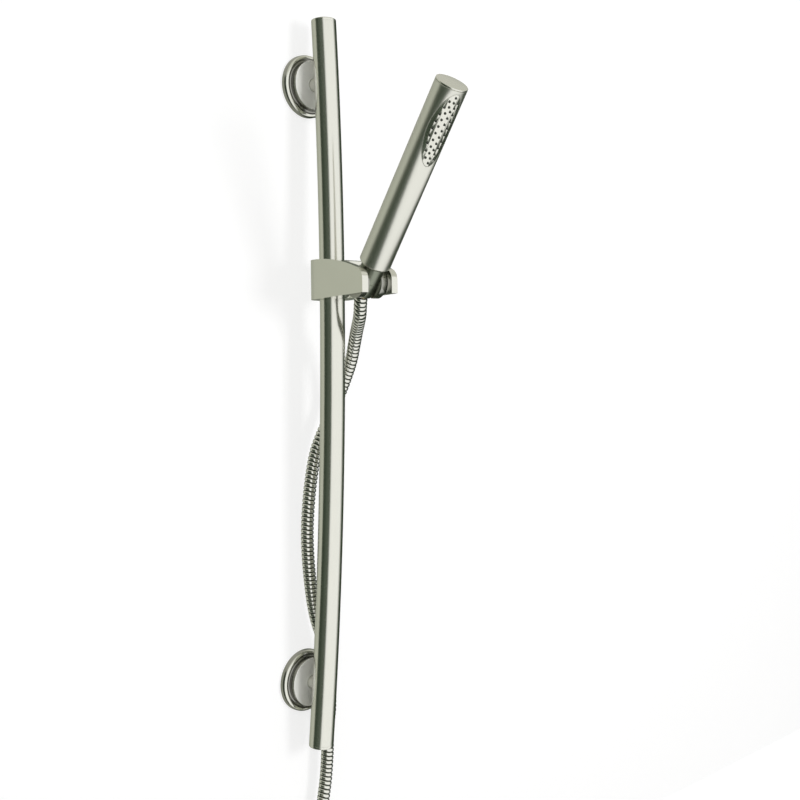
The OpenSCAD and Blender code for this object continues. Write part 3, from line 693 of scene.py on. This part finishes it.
class SHOWER_OT_rail(bpy.types.Operator):
    """Makes the bowed tube and its two end caps"""

    bl_idname = "shower.rail"
    bl_label = "Rail"

    def execute(self, context):
        sizes = context.scene.rail_sizes
        tube_end = asin(sizes.long / 2 / BOW_RADIUS) - sizes.cap / BOW_RADIUS
        metal = brushed_nickel("nickel_rail", (0, 0, 1))
        add = bpy.ops.mesh.primitive_circle_add
        tube = settle(added("rail_tube_drawn", add, vertices=96, radius=sizes.radius), on_rail(-tube_end))
        open_all(tube)
        bpy.ops.mesh.spin(
            steps=sizes.steps, angle=2 * tube_end, center=tuple(ARC_CENTRE), axis=(1, 0, 0), dupli=False
        )
        close()
        dress(tidy_mesh(tube), metal, "rail", "rail", "rail_tube")
        r, cap, plug, depth = sizes.radius, sizes.cap, sizes.radius - 0.0016, 0.006
        profile = [(plug, -depth), (plug, 0), (r - 0.0003, 0)]
        profile += arc((r - 0.0003, 0.0003), 0.0003, -90, 0, 3)
        profile += arc((r - 0.0006, cap - 0.0006), 0.0006, 0, 90, 5) + [(0, cap)]
        for end, side in WALL_SIDES.items():
            disc = turned("rail_cap_" + end + "_disc", profile)
            settle(disc, on_rail(side * tube_end) @ Matrix.Scale(side, 4, (0, 0, 1)))
            dress(tidy_mesh(disc), metal, "rail", "rail", "rail_cap_" + end)
        return {"FINISHED"}


class SHOWER_OT_brackets(bpy.types.Operator):
    """Makes the flanges, the posts and what holds them to the wall"""

    bl_idname = "shower.brackets"
    bl_label = "Brackets"

    def flange_profile(self, sizes):
        """The flange's section from its back, over the rim and the groove, to the hole in its face."""
        rim, top = sizes.flange_radius, sizes.rim_depth
        face, height = sizes.face_radius, sizes.face_depth
        hole, sheet = sizes.post_radius + 0.0001, 0.0015
        back = top - sheet - 0.0012
        groove, groove_radius = (face + 0.0016, top + 0.001), 0.002
        lip = groove[0] + 0.001732
        profile = [(rim - sheet, 0.0), (rim - 0.0002, 0.0), (rim, 0.0002)]
        profile += arc((rim - sizes.rim_edge, top - sizes.rim_edge), sizes.rim_edge, 0, 90, 12)
        profile += [(lip + 0.0003, top), (lip, top - 0.0001)]
        profile += arc(groove, groove_radius, -25, -138, 9)
        profile += arc((face - 0.0008, height - 0.0008), 0.0008, 0, 90, 6)
        profile += [(hole + 0.0003, height), (hole, height - 0.0003), (hole, height - sheet)]
        profile += [(face - sheet, height - sheet), (face - sheet, back), (rim - sheet, back)]
        return profile + [(rim - sheet, 0.0)]

    def make_post(self, name, sizes, place):
        """A post whose outer end is hollowed to the tube."""
        r, start, ends, steps, overlap = sizes.post_radius, 0.003, 0.0285, 8, 0.0002
        heights = [start + (ends - start) * i / steps for i in range(steps + 1)]
        profile = [(r - 0.0004, start)] + [(r, height) for height in heights]
        post = turned(name, profile, 72, place)
        for vertex in post.data.vertices:
            if vertex.co.y < -ends + 1e-4:
                across = sqrt(max(sizes.radius**2 - vertex.co.x**2, 0))
                away = BOW_RADIUS - across + overlap
                vertex.co.y = ARC_CENTRE.y - sqrt(away * away - vertex.co.z**2)
        return tidy_mesh(post)

    def bolt_profile(self, sizes):
        """A wall bolt: a point, a coarse thread and a plain shank."""
        r, end = sizes.bolt_radius, -sizes.bolt_length
        pitch, point, thread_end = 0.0022, 0.0065, -0.0105
        profile = [(0, end), (0.0005, end)]
        z = end + 0.002
        while z < thread_end:
            share = min(1.0, (z - end) / point)
            profile += [(r * share * 0.78, z), (r * share, z + pitch * 0.45), (r * share, z + pitch * 0.55)]
            z += pitch
        profile += [(r * 0.8, z), (r * 0.86, z + 0.001), (r, z + 0.0015), (r, 0.0)]
        profile += [(r - 0.0005, 0.0), (r - 0.0005, 0.0076), (r - 0.0009, 0.008), (0, 0.008)]
        return profile

    def execute(self, context):
        sizes = context.scene.rail_sizes
        for end in WALL_SIDES:
            place = bracket_frame(end)
            flange = turned("flange_" + end + "_cover", self.flange_profile(sizes), 128, place)
            metal = flange_nickel("nickel_flange_" + end, place.translation, sizes)
            dress(flange, metal, "rail", "rail", "flange_" + end)
            post = self.make_post("post_" + end + "_rod", sizes, place)
            dress(post, brushed_nickel("nickel_post_" + end, (0, 1, 0)), "rail", "rail", "post_" + end)
            bolt = turned("wall_bolt_" + end + "_threaded", self.bolt_profile(sizes), 40, place)
            dress(bolt, finish_named("steel"), "rail", "steel", "wall_bolt_" + end)
            dress_cad("wall_plate_" + end, "rail", "steel", 0.0003)
            dress_cad("grub_screw_" + end, "rail", "steel", 0.0001)
        return {"FINISHED"}


# ---- the slider ----


class SHOWER_OT_slider(bpy.types.Operator):
    """Makes the forked slider with its bush and brake screw"""

    bl_idname = "shower.slider"
    bl_label = "Slider"

    def side_outline(self, sizes):
        """The outline from the side: the reach into the room and the height."""
        half, reach, corner = sizes.height / 2, sizes.nose_reach, sizes.corner_radius
        back, top = -sizes.width / 2, sizes.top_radius
        arc_height, corner_x = half - top, reach - corner
        rise = sqrt((top - corner) ** 2 - corner_x**2)
        meeting = degrees(atan2(rise, corner_x))
        outline = [(back, -half), (0, -half), (reach, sizes.bottom_rise - half)]
        outline += arc((corner_x, arc_height + rise), corner, 0, meeting, 16)
        return outline + arc((0, arc_height), top, meeting, 90, 32)[1:] + [(back, half)]

    def plan_outline(self, sizes):
        """The outline from above: round at the back and straight at the front."""
        r, front = sizes.width / 2, -sizes.nose_reach - 0.001
        return arc((0, 0), r, 0, 180, 64) + [(-r, front), (r, front)]

    def cut_hose_room(self, body, room):
        """Cuts room under the web for the hose when the barrel is tilted right forward."""
        most = radians(JOINTS["tilt_holder"]["range_deg"][1])
        turn = Matrix.Rotation(most, 4, Vector(TILT_AXIS))
        tilted = Matrix.Translation(PIVOT_AT) @ turn @ Matrix.Translation(-PIVOT_AT) @ HOLDER_FRAME
        tilted = SLIDER_FRAME.inverted() @ tilted
        below, forward = -0.07, -0.03
        combine(body, cylinder("hose_path", room, below, 0, tilted, 48))
        combine(body, prism("hose_sweep", rectangle(room, forward, 0), -below, tilted @ raised(below)))

    def execute(self, context):
        sizes = context.scene.slider_sizes
        height, reach, width = sizes.height, sizes.nose_reach, sizes.width
        spare = 0.001
        brake_radius, brake_start = 0.00505, 0.03
        facing = Matrix(((0, 0, 1, 0), (-1, 0, 0, 0), (0, 1, 0, 0), (0, 0, 0, 1)))
        facing = Matrix.Translation((-width / 2 - spare, 0, 0)) @ facing
        body = prism("slider_body", self.side_outline(sizes), width + 2 * spare, facing)
        lowest = raised(-height / 2 - spare)
        combine(body, prism("plan", self.plan_outline(sizes), height + 2 * spare, lowest), "INTERSECT")
        slot = rectangle(width / 2 - sizes.arm, -reach - 0.01, -sizes.web_front)
        combine(body, prism("slot", slot, height * 2, raised(-height)))
        combine(body, cylinder("bore", sizes.bore, -height, height, Matrix.Identity(4)))
        combine(body, cylinder("brake", brake_radius, brake_start, reach, STANDING, 48))
        self.cut_hose_room(body, sizes.hose_room)
        settle(round_edges(body, sizes.edge), SLIDER_FRAME)
        tidy_mesh(body, 30)
        metal = brushed_nickel("nickel_slider", SLIDER_FRAME.col[1].to_3d(), 0.16, 0.7)
        dress(body, metal, "slider", "slider", "slider_fork")
        dress_cad("slider_bush", "bush", "plastic")
        dress_cad("brake_screw", "slider", "steel")
        return {"FINISHED"}


class SHOWER_OT_holder(bpy.types.Operator):
    """Makes the tilting barrel with its cone and its slot"""

    bl_idname = "shower.holder"
    bl_label = "Holder"

    def execute(self, context):
        sizes = context.scene.slider_sizes
        cone = context.scene.handset_sizes
        r, half = sizes.barrel_radius, sizes.barrel_width / 2
        reach, front = r + 0.002, -2 * r
        lying = BARREL_FRAME @ Matrix.Rotation(pi / 2, 4, "Y")
        barrel = cylinder("holder_barrel_turned", r, -half, half, lying, 128)
        low = cone.cone_radius - cone.cone_slope * reach + 0.0001
        high = cone.cone_radius + cone.cone_slope * reach + 0.0001
        combine(barrel, cylinder("cone", low, -reach, reach, HOLDER_FRAME, top_radius=high))
        outline = rectangle(sizes.barrel_slot / 2, front, 0)
        combine(barrel, prism("opening", outline, -2 * front, HOLDER_FRAME @ raised(front)))
        tidy_mesh(round_edges(barrel, 0.0005), 30)
        # Painted shade: the last value halves the barrel's tone, for the shade inside the holder.
        metal = brushed_nickel("nickel_barrel", SLIDER_FRAME.col[0].to_3d(), 0.26, 0.7, 0.5)
        dress(barrel, metal, "holder", "slider", "holder_barrel")
        return {"FINISHED"}


# ---- the handset ----


class SHOWER_OT_nut(bpy.types.Operator):
    """Makes the conical hose nut and the hose's crimped end"""

    bl_idname = "shower.nut"
    bl_label = "Hose nut"

    def execute(self, context):
        sizes = context.scene.handset_sizes
        place = handset_frame()

        def cone(z):
            return sizes.cone_radius + sizes.cone_slope * z

        low, top, line, end = sizes.nut_low, sizes.nut_top, 0.0035, sizes.nut_low - 0.002
        foot, waist, mouth, bore, thread = cone(low), cone(line), cone(top), 0.0071, 0.0093
        profile = [(bore, low + 0.002), (bore, low + 0.0003), (bore + 0.0003, low), (foot - 0.0006, low)]
        profile += [(foot - 0.0002, low + 0.0002), (foot, low + 0.0006), (waist, line)]
        profile += [(waist - 0.0004, line + 0.0002), (waist - 0.0005, line + 0.0005)]
        profile += [(waist - 0.0004, line + 0.0008), (waist, line + 0.001), (mouth, top - 0.0005)]
        profile += [(mouth - 0.0004, top), (thread, top), (thread, top - 0.005)]
        nut = turned("hose_nut_cone", profile, 96, place)
        # Painted shade: the last values darken the nut's nickel to about a third, for the shade inside the holder.
        metal = turned_nickel("nickel_nut", PIVOT_AT, HANDSET_AXIS, 0.3, (0.36, 0.39, 0.34))
        dress(nut, metal, "handset", "nut", "hose_nut")
        ferrule = crimped("hose_ferrule_crimped", end, end + 0.003, (0.011, 0.0125), 0.009, place)
        dress(ferrule, finish_named("brass"), "hose_end", "brass", "hose_ferrule")
        return {"FINISHED"}


class SHOWER_OT_handset(bpy.types.Operator):
    """Makes the handset's tube with its oval opening, and its end cap"""

    bl_idname = "shower.handset"
    bl_label = "Handset"

    def execute(self, context):
        sizes = context.scene.handset_sizes
        place = handset_frame()
        r, wall, seat, edge = sizes.radius, sizes.wall, sizes.seat, sizes.low_edge
        shell_top = sizes.top - sizes.cap
        neck, floor_top = 0.0094, seat + 0.003
        profile = [(neck, floor_top), (neck, seat)]
        profile += [(r - edge - 0.0003, seat), (r - edge + 0.0001, seat + 0.0002)]
        profile += [(r - 0.0003, seat + edge - 0.0001), (r, seat + edge + 0.0004)]
        profile += [(r, shell_top - 0.0002), (r - 0.0002, shell_top), (r - wall, shell_top)]
        profile += [(r - wall, floor_top), (neck, floor_top)]
        shell = turned("handset_shell_drawn", profile, 256)
        combine(shell, oval_prism(sizes, 0.0))
        settle(round_edges(shell, 0.00025, 2, 50), place)
        metal = brushed_nickel("nickel_handset", HANDSET_AXIS, 0.3, 1.5)
        dress(tidy_mesh(shell, 30), metal, "handset", "handset", "handset_shell")
        top, inner, lip = sizes.top, r - wall - 0.0001, shell_top + 0.0004
        disc = [(inner, shell_top - 0.003), (inner, lip), (r - 0.0002, lip), (r, lip + 0.0002)]
        disc += arc((r - 0.0004, top - 0.0004), 0.0004, 0, 90, 5) + [(0, top)]
        cap = turned("handset_cap_disc", disc, 128, place)
        face = brushed_nickel("nickel_cap", place.col[0].to_3d(), 0.24, 1.6)
        dress(cap, face, "handset", "handset", "handset_cap")
        return {"FINISHED"}


def oval_prism(sizes, margin):
    """A prism of the plate's oval, out through the spray side."""
    half_w, half_l = sizes.plate_width / 2 + margin, sizes.plate_length / 2 + margin
    outline = [(half_w * cos(2 * pi * i / 96), half_l * sin(2 * pi * i / 96)) for i in range(96)]
    return prism("oval", outline, sizes.radius * 2, raised(sizes.plate_middle) @ STANDING)


# Two ovals of nozzles: their shares of the plate's width and length, and their rows from the middle.
NOZZLE_OVALS = (
    (0.68, 0.9, (0, 0.22, 0.44, 0.66, 0.86, 1)),
    (0.38, 0.765, (0.12, 0.36, 0.6, 0.83, 1)),
)
MIDDLE_NOZZLES = 7
MIDDLE_PITCH = 0.088


def nozzle_places(sizes):
    """Places of the nozzles on the plate: two nested ovals and a middle row."""
    places = []
    for share_w, share_l, rows in NOZZLE_OVALS:
        half_w, half_l = share_w * sizes.plate_width / 2, share_l * sizes.plate_length / 2
        for row in rows:
            for across in (-1, 1) if row < 1 else (0,):
                for along in (-1, 1) if row > 0 else (0,):
                    places.append((across * half_w * sqrt(1 - row * row), along * row * half_l))
    middle, pitch = MIDDLE_NOZZLES // 2, sizes.plate_length * MIDDLE_PITCH
    return places + [(0, (i - middle) * pitch) for i in range(MIDDLE_NOZZLES)]


def nozzle_frames(sizes):
    """The nozzles' frames on the handset's axis, with Z out through the plate."""
    return [
        raised(sizes.plate_middle + along) @ Matrix.Rotation(asin(across / sizes.radius), 4, "Z") @ STANDING
        for across, along in nozzle_places(sizes)
    ]


class SHOWER_OT_spray(bpy.types.Operator):
    """Makes the oval spray plate and the rubber nozzles through it"""

    bl_idname = "shower.spray"
    bl_label = "Spray plate"

    def execute(self, context):
        sizes = context.scene.handset_sizes
        place = handset_frame()
        clearance = 0.00022
        r, inner, wide = sizes.radius, sizes.radius - sizes.wall, sizes.nozzle + clearance
        low = sizes.plate_middle - sizes.plate_length / 2 - 0.001
        plate = sleeve("spray_plate_pierced", inner, r - 0.0001, low, low + sizes.plate_length + 0.002, 256)
        combine(plate, oval_prism(sizes, -0.0002), "INTERSECT")
        spots = nozzle_frames(sizes)
        holes = [cylinder("hole", wide, inner - 0.002, r + 0.003, spot, 20) for spot in spots]
        combine(plate, merge(holes))
        settle(round_edges(plate, 0.0001, 2, 50), place)
        metal = plate_nickel("nickel_plate", place, sizes)
        dress(tidy_mesh(plate, 30), metal, "handset", "plate", "spray_plate")
        self.make_nozzles(sizes, place, inner)
        return {"FINISHED"}

    def make_nozzles(self, sizes, place, inner):
        """The rubber mat with its nozzles as one moulding."""
        r, n, tip = sizes.radius, sizes.nozzle, sizes.radius + sizes.stand
        pin = [(n, inner - 0.0012), (n, r - 0.0001), (n * 0.96, r + 0.0002)]
        pin += [(n * 0.86, tip - 0.0003), (n * 0.74, tip - 0.0001), (n * 0.58, tip)]
        pin += [(n * 0.46, tip - 0.00012), (n * 0.42, tip - 0.0009), (0, tip - 0.0009)]
        first, *others = nozzle_frames(sizes)
        nozzle = turned("nozzle", pin, 20)
        copies = [settle(linked("nozzle", nozzle.data.copy()), spot) for spot in others]
        settle(nozzle, first)
        back, front = inner - 0.0017, inner - 0.0001
        low = sizes.plate_middle - sizes.plate_length / 2
        mat = sleeve("nozzle_mat_moulded", back, front, low, low + sizes.plate_length, 96)
        combine(mat, oval_prism(sizes, -0.0006), "INTERSECT")
        settle(merge([mat, nozzle, *copies]), place)
        dress(shade_round(mat, 40), finish_named("rubber"), "handset", "rubber", "nozzle_mat")


# ---- the hose ----

HOSE_ROUTE = [
    (-0.0064, -0.0899, 0.0898), (-0.004, -0.0863, 0.081), (0.0015, -0.0795, 0.0695),
    (0.013, -0.0633, 0.056), (0.0194, -0.0525, 0.041), (0.0226, -0.045, 0.026), (0.0238, -0.037, 0.011),
    (0.0232, -0.0292, -0.005), (0.021, -0.0226, -0.02), (0.015, -0.0192, -0.036),
    (0.0085, -0.0166, -0.051), (0.0027, -0.015, -0.066), (-0.001, -0.014, -0.082),
    (-0.005, -0.014, -0.104), (-0.0075, -0.014, -0.127), (-0.0085, -0.014, -0.15),
    (-0.0075, -0.014, -0.173), (-0.005, -0.014, -0.196), (-0.0015, -0.014, -0.218),
    (0.002, -0.0145, -0.235), (0.007, -0.0155, -0.251), (0.012, -0.018, -0.266),
    (0.016, -0.0205, -0.28), (0.017, -0.021, -0.294), (0.017, -0.021, -0.308),
    (0.0175, -0.0205, -0.322), (0.0175, -0.02, -0.336), (0.018, -0.0175, -0.35),
    (0.0185, -0.016, -0.364), (0.0185, -0.0155, -0.379), (0.018, -0.015, -0.395),
    (0.0165, -0.015, -0.41), (0.014, -0.015, -0.425), (0.011, -0.015, -0.441), (0.008, -0.015, -0.458),
    (0.006, -0.0145, -0.478), (0.005, -0.014, -0.5),
]
TAIL_DROPS = (0.016, 0.034, 0.052)
COIL_STEPS = 36
CURVE_STEPS = 16
# How far inside its piece a lower end is reckoned, and the height below which the hanging piece's lower end is
# reckoned.
ANCHOR = 0.008
STRAP_TOP = -0.405


class SHOWER_OT_hose(bpy.types.Operator):
    """Makes the wound metal hose, with its coil, strap and supply end"""

    bl_idname = "shower.hose"
    bl_label = "Hose"
    RINGS = 8

    def centreline(self, sizes):
        """The hose's points in metres: the hanging route, the coil and the straight tail."""
        points = [Vector(p) for p in HOSE_ROUTE]
        end, radius = points[-1].copy(), sizes.coil_radius
        for i in range(1, COIL_STEPS * sizes.coil_turns + 1):
            a = 2 * pi * i / COIL_STEPS
            shift = (radius * (cos(a) - 1), -sizes.coil_pitch * i / COIL_STEPS, -radius * sin(a))
            points.append(end + Vector(shift))
        return points + [points[-1] - Vector((0, 0, drop)) for drop in TAIL_DROPS]

    def smooth(self, points, step):
        """Evenly spaced points on a smooth curve through the given ones."""
        padded = [points[0] * 2 - points[1]] + points + [points[-1] * 2 - points[-2]]
        dense = []
        for a, b, c, d in zip(padded, padded[1:], padded[2:], padded[3:]):
            for i in range(CURVE_STEPS):
                t = i / CURVE_STEPS
                square, cube = 2 * a - 5 * b + 4 * c - d, 3 * b - a - 3 * c + d
                dense.append(0.5 * (2 * b + (c - a) * t + square * t * t + cube * t**3))
        dense.append(points[-1])
        travelled = [0.0]
        for p, q in zip(dense, dense[1:]):
            travelled.append(travelled[-1] + (q - p).length)
        spans = int(round(travelled[-1] / step))
        even, j = [], 0
        for i in range(spans + 1):
            goal = travelled[-1] * i / spans
            while j < len(dense) - 2 and travelled[j + 1] < goal:
                j += 1
            share = (goal - travelled[j]) / (travelled[j + 1] - travelled[j])
            even.append(dense[j].lerp(dense[j + 1], share))
        return even

    def rounds(self, line):
        """For each point of a line, two directions square to it that twist as little as they can."""
        side = Vector((0, 1, 0))
        found = []
        for i in range(len(line)):
            along = (line[min(i + 1, len(line) - 1)] - line[max(i - 1, 0)]).normalized()
            side = (side - along * side.dot(along)).normalized()
            found.append((side, along.cross(side)))
        return found

    def depth_at(self, turns):
        """How deep the strip lies after some turns: 0 on a rib's flat top and 1 in the groove."""
        flat, slope = 0.55, 0.33
        away = abs(2 * (turns - floor(turns)) - 1)
        share = min(max((away - flat) / slope, 0.0), 1.0)
        return share * share * (3 - 2 * share)

    def make_tube(self, name, sizes, line, rounds, first, last):
        """A tube of spiral ribs between two points of the line."""
        per_rib, n = self.RINGS, sizes.sides
        vertices, depths = [], []
        for i in range(first, last + 1):
            side, front = rounds[i]
            for k in range(n):
                depth = self.depth_at(i / per_rib + k / n)
                a = 2 * pi * k / n
                r = sizes.radius - sizes.groove * depth
                vertices.append(line[i] + (side * cos(a) + front * sin(a)) * r)
                depths.append(depth)
        rows = last - first
        faces = [
            (i * n + k, i * n + (k + 1) % n, (i + 1) * n + (k + 1) % n, (i + 1) * n + k)
            for i in range(rows)
            for k in range(n)
        ]
        faces += [tuple(reversed(range(n))), tuple(rows * n + k for k in range(n))]
        mesh = bpy.data.meshes.new(name)
        mesh.from_pydata(vertices, [], faces)
        groove = mesh.attributes.new("groove", "FLOAT", "POINT")
        groove.data.foreach_set("value", depths)
        tube = linked(name, mesh)
        open_all(tube)
        bpy.ops.mesh.normals_make_consistent(inside=False)
        close()
        return shade_round(tube, 60)

    def execute(self, context):
        sizes = context.scene.hose_sizes
        metal = hose_metal()
        step = sizes.pitch / self.RINGS
        line = self.smooth(self.centreline(sizes), step)
        rounds = self.rounds(line)
        span = int(round(sizes.bend / step))
        inset = int(ANCHOR / step)
        end, lower_nodes = len(line) - 1, ("hose_lower", "hose_coil", "hose_tail")
        parts = [
            ("hose_at_nut", 0, span, "hose_end", "holder", ("hose_upper",)),
            ("hose_at_holder", span, 2 * span, "holder", "slider", ()),
            ("hose_at_slider", 2 * span, 3 * span, "slider", "bush", ()),
            ("hose_hanging", 3 * span, end, "bush", "rail", lower_nodes),
        ]
        supply = self.make_supply()
        for name, first, last, upper, lower, nodes in parts:
            tube = self.make_tube(name, sizes, line, rounds, first, last)
            coat(tube, metal)
            if nodes:
                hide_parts(*nodes)
            hanging, below = lower == "rail", last - inset
            if hanging:
                below = next(i for i in range(first, last) if line[i].z < STRAP_TOP)
            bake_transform(tube)
        return {"FINISHED"}

    def make_supply(self):
        """The strap round the coil, and the nut and crimped end at the supply."""
        strap = dress_cad("coil_strap", "rail", "black", 0.0004)
        ferrule = crimped("supply_ferrule_crimped", 0, 0.002, (0.0065, 0.008), 0.0091, SUPPLY_FRAME)
        dress(ferrule, finish_named("brass"), "rail", "brass", "supply_ferrule")
        nut = from_cad("supply_nut", 0.0004)
        dress(nut, brushed_nickel("nickel_supply_nut", (0, 0, 1), 0.18), "supply_nut", "nut", "supply_nut")
        return [strap, ferrule, nut]


# ---- the stage ----


class SHOWER_OT_camera(bpy.types.Operator):
    """Adds the camera"""

    bl_idname = "shower.camera"
    bl_label = "Camera"

    def execute(self, context):
        yaw, pitch, roll = -0.848, -0.023, 0.006
        ahead = Vector((-sin(yaw) * cos(pitch), cos(yaw) * cos(pitch), sin(pitch)))
        level = Vector((cos(yaw), sin(yaw), 0))
        upward = level.cross(ahead)
        right = level * cos(roll) + upward * sin(roll)
        up = upward * cos(roll) - level * sin(roll)
        lens = bpy.data.cameras.new("camera")
        lens.lens = 53.943
        lens.sensor_width = 36
        lens.shift_x = -0.08682
        lens.shift_y = -0.03227
        lens.clip_start = 0.01
        camera = linked("camera", lens)
        turn = Matrix((right, up, -ahead)).transposed().to_4x4()
        eye = (-0.8110, -0.9404, 0.0403)
        camera.matrix_world = Matrix.Translation(eye) @ turn
        context.scene.camera = camera
        return {"FINISHED"}


class SHOWER_OT_stage(bpy.types.Operator):
    """Adds the wall, the floor, the lights and the studio round them"""

    bl_idname = "shower.stage"
    bl_label = "Stage"

    def sheet(self, name, size, place, glow):
        """A pale sheet that can be seen through from behind."""
        grid = {"x_subdivisions": 8, "y_subdivisions": 8, "size": size}
        piece = settle(added(name, bpy.ops.mesh.primitive_grid_add, **grid), place)
        shading = new_shading(name)
        lit = shading.node("BsdfDiffuse", Color=(0.35, 0.35, 0.35, 1))
        seen = shading.node("LightPath", output="Is Camera Ray")
        shining = shading.node("Emission", Color=(1, 1, 1, 1), Strength=seen * glow)
        face = shading.node("AddShader", i0=lit, i1=shining)
        clear = shading.node("BsdfTransparent", Color=(1, 1, 1, 1))
        back = shading.node("NewGeometry", output="Backfacing")
        coat(piece, shading.finish(shading.node("MixShader", i0=back, i1=face, i2=clear)))
        piece.visible_glossy = False

    def between(self, wire, low, high, soft_low, soft_high):
        """1 between two bearings in degrees and 0 outside, with a soft edge at each."""
        rise = wire.over(radians(low - soft_low), radians(low + soft_low))
        fall = wire.over(radians(high - soft_high), radians(high + soft_high))
        return rise * (1 - fall)

    def studio(self, scene):
        """A pale studio with a bright front, a dark screen on either side and a pale ceiling."""
        scene.world = bpy.data.worlds.new("studio")
        shading = Shading(scene.world)
        right, back, up = shading.parts(shading.node("TexCoord", output="Generated"))
        # The bearing is 0 towards the room and grows to the right.
        bearing = right.math("ARCTAN2", 0 - back)
        middle, flank, pale = (0.43, 0.445, 0.375, 1), (0.53, 0.545, 0.46, 1), (0.62, 0.62, 0.55, 1)
        white, dark, grey = (1.02, 1.02, 0.99, 1), (0.042, 0.056, 0.037, 1), (0.088, 0.106, 0.08, 1)
        # Each screen's two bearings, the softness of its two edges, and its colour.
        screens = (
            (-158, -90, 12, 5, flank),
            (-123, -46, 4, 9, grey),
            (-123, -92, 4, 16, dark),
            (62, 140, 16, 14, dark),
            (-50, 61, 7, 16, white),
        )
        colour = middle
        for *edges, tone in screens:
            colour = shading.blend_colours(self.between(bearing, *edges), colour, tone)
        colour = shading.blend_colours(up.over(0.4, 0.58), colour, pale)
        seen, glossy = (shading.node("LightPath", output=f"Is {kind} Ray") for kind in ("Camera", "Glossy"))
        colour = shading.blend_colours(glossy, (0.5, 0.5, 0.49, 1), colour)
        colour = shading.blend_colours(seen, colour, (1, 1, 1, 1))
        shading.finish(shading.node("Background", Color=colour, Strength=1.0), "World")

    def light(self, name, place, size, power):
        """A square lamp that points at the frame's origin."""
        lamp = bpy.data.lights.new(name, "AREA")
        lamp.size = size
        lamp.energy = power
        holder = linked(name, lamp)
        aim = (-Vector(place)).to_track_quat("-Z", "Y").to_matrix().to_4x4()
        holder.matrix_world = Matrix.Translation(place) @ aim
        holder.visible_glossy = False

    def execute(self, context):
        scene = context.scene
        scene.view_settings.view_transform = "Standard"
        behind_wall, below_part, size = 0.0008, CAD_BOX[0][2] - 0.05, 8
        self.sheet("wall", size, Matrix.Translation((0, behind_wall, 0)) @ STANDING, glow=0.75)
        self.sheet("floor", size, Matrix.Translation((0, -size / 2, below_part)), glow=0.85)
        self.studio(scene)
        self.light("front_light", (0.65, -2.35, 0.3), size=0.7, power=22)
        self.light("side_light", (-1.8, -1.6, 1.2), size=1.2, power=10)
        return {"FINISHED"}


class SHOWER_OT_hidden(bpy.types.Operator):
    """Gives the pieces inside the shower their finishes"""

    bl_idname = "shower.hidden"
    bl_label = "Inner pieces"

    def execute(self, context):
        shown = {entry["node"]: entry["material_slot"] for entry in frame["record"]["subparts"]}
        for node, piece in frame["nodes"].items():
            if shown[node] in SHARED_FINISHES:
                coat(piece, finish_named(shown[node]))
        for side in ("near", "far"):
            dress_cad("friction_washer_" + side, "slider", "black", 0.0001)
        return {"FINISHED"}


# ---- the panel ----


STEPS = (
    "camera", "hose", "rail", "brackets", "slider", "holder", "nut", "handset", "spray", "hidden", "stage",
)
GROUPS = (
    ("rail_sizes", RailSizes),
    ("slider_sizes", SliderSizes),
    ("handset_sizes", HandsetSizes),
    ("hose_sizes", HoseSizes),
    ("shower_finishes", Finishes),
)


class SHOWER_PT_panel(bpy.types.Panel):
    """Lists the pieces and their sizes"""

    bl_label = "Shower"
    bl_idname = "SHOWER_PT_panel"
    bl_space_type = "VIEW_3D"
    bl_region_type = "UI"
    bl_category = "Shower"

    def draw(self, context):
        for step in STEPS:
            self.layout.operator("shower." + step)
        for name, group in GROUPS:
            box = self.layout.box()
            for key in group.__annotations__:
                box.prop(getattr(context.scene, name), key)


CLASSES = tuple(group for name, group in GROUPS) + (
    SHOWER_OT_camera,
    SHOWER_OT_hose,
    SHOWER_OT_rail,
    SHOWER_OT_brackets,
    SHOWER_OT_slider,
    SHOWER_OT_holder,
    SHOWER_OT_nut,
    SHOWER_OT_handset,
    SHOWER_OT_spray,
    SHOWER_OT_hidden,
    SHOWER_OT_stage,
    SHOWER_PT_panel,
)


def register():
    for entry in CLASSES:
        bpy.utils.register_class(entry)
    for name, group in GROUPS:
        setattr(bpy.types.Scene, name, PointerProperty(type=group))


def unregister():
    for name, _ in GROUPS:
        delattr(bpy.types.Scene, name)
    for entry in reversed(CLASSES):
        bpy.utils.unregister_class(entry)


def main():
    register()
    for step in STEPS:
        getattr(bpy.ops.shower, step)()


if __name__ == "__main__":
    main()
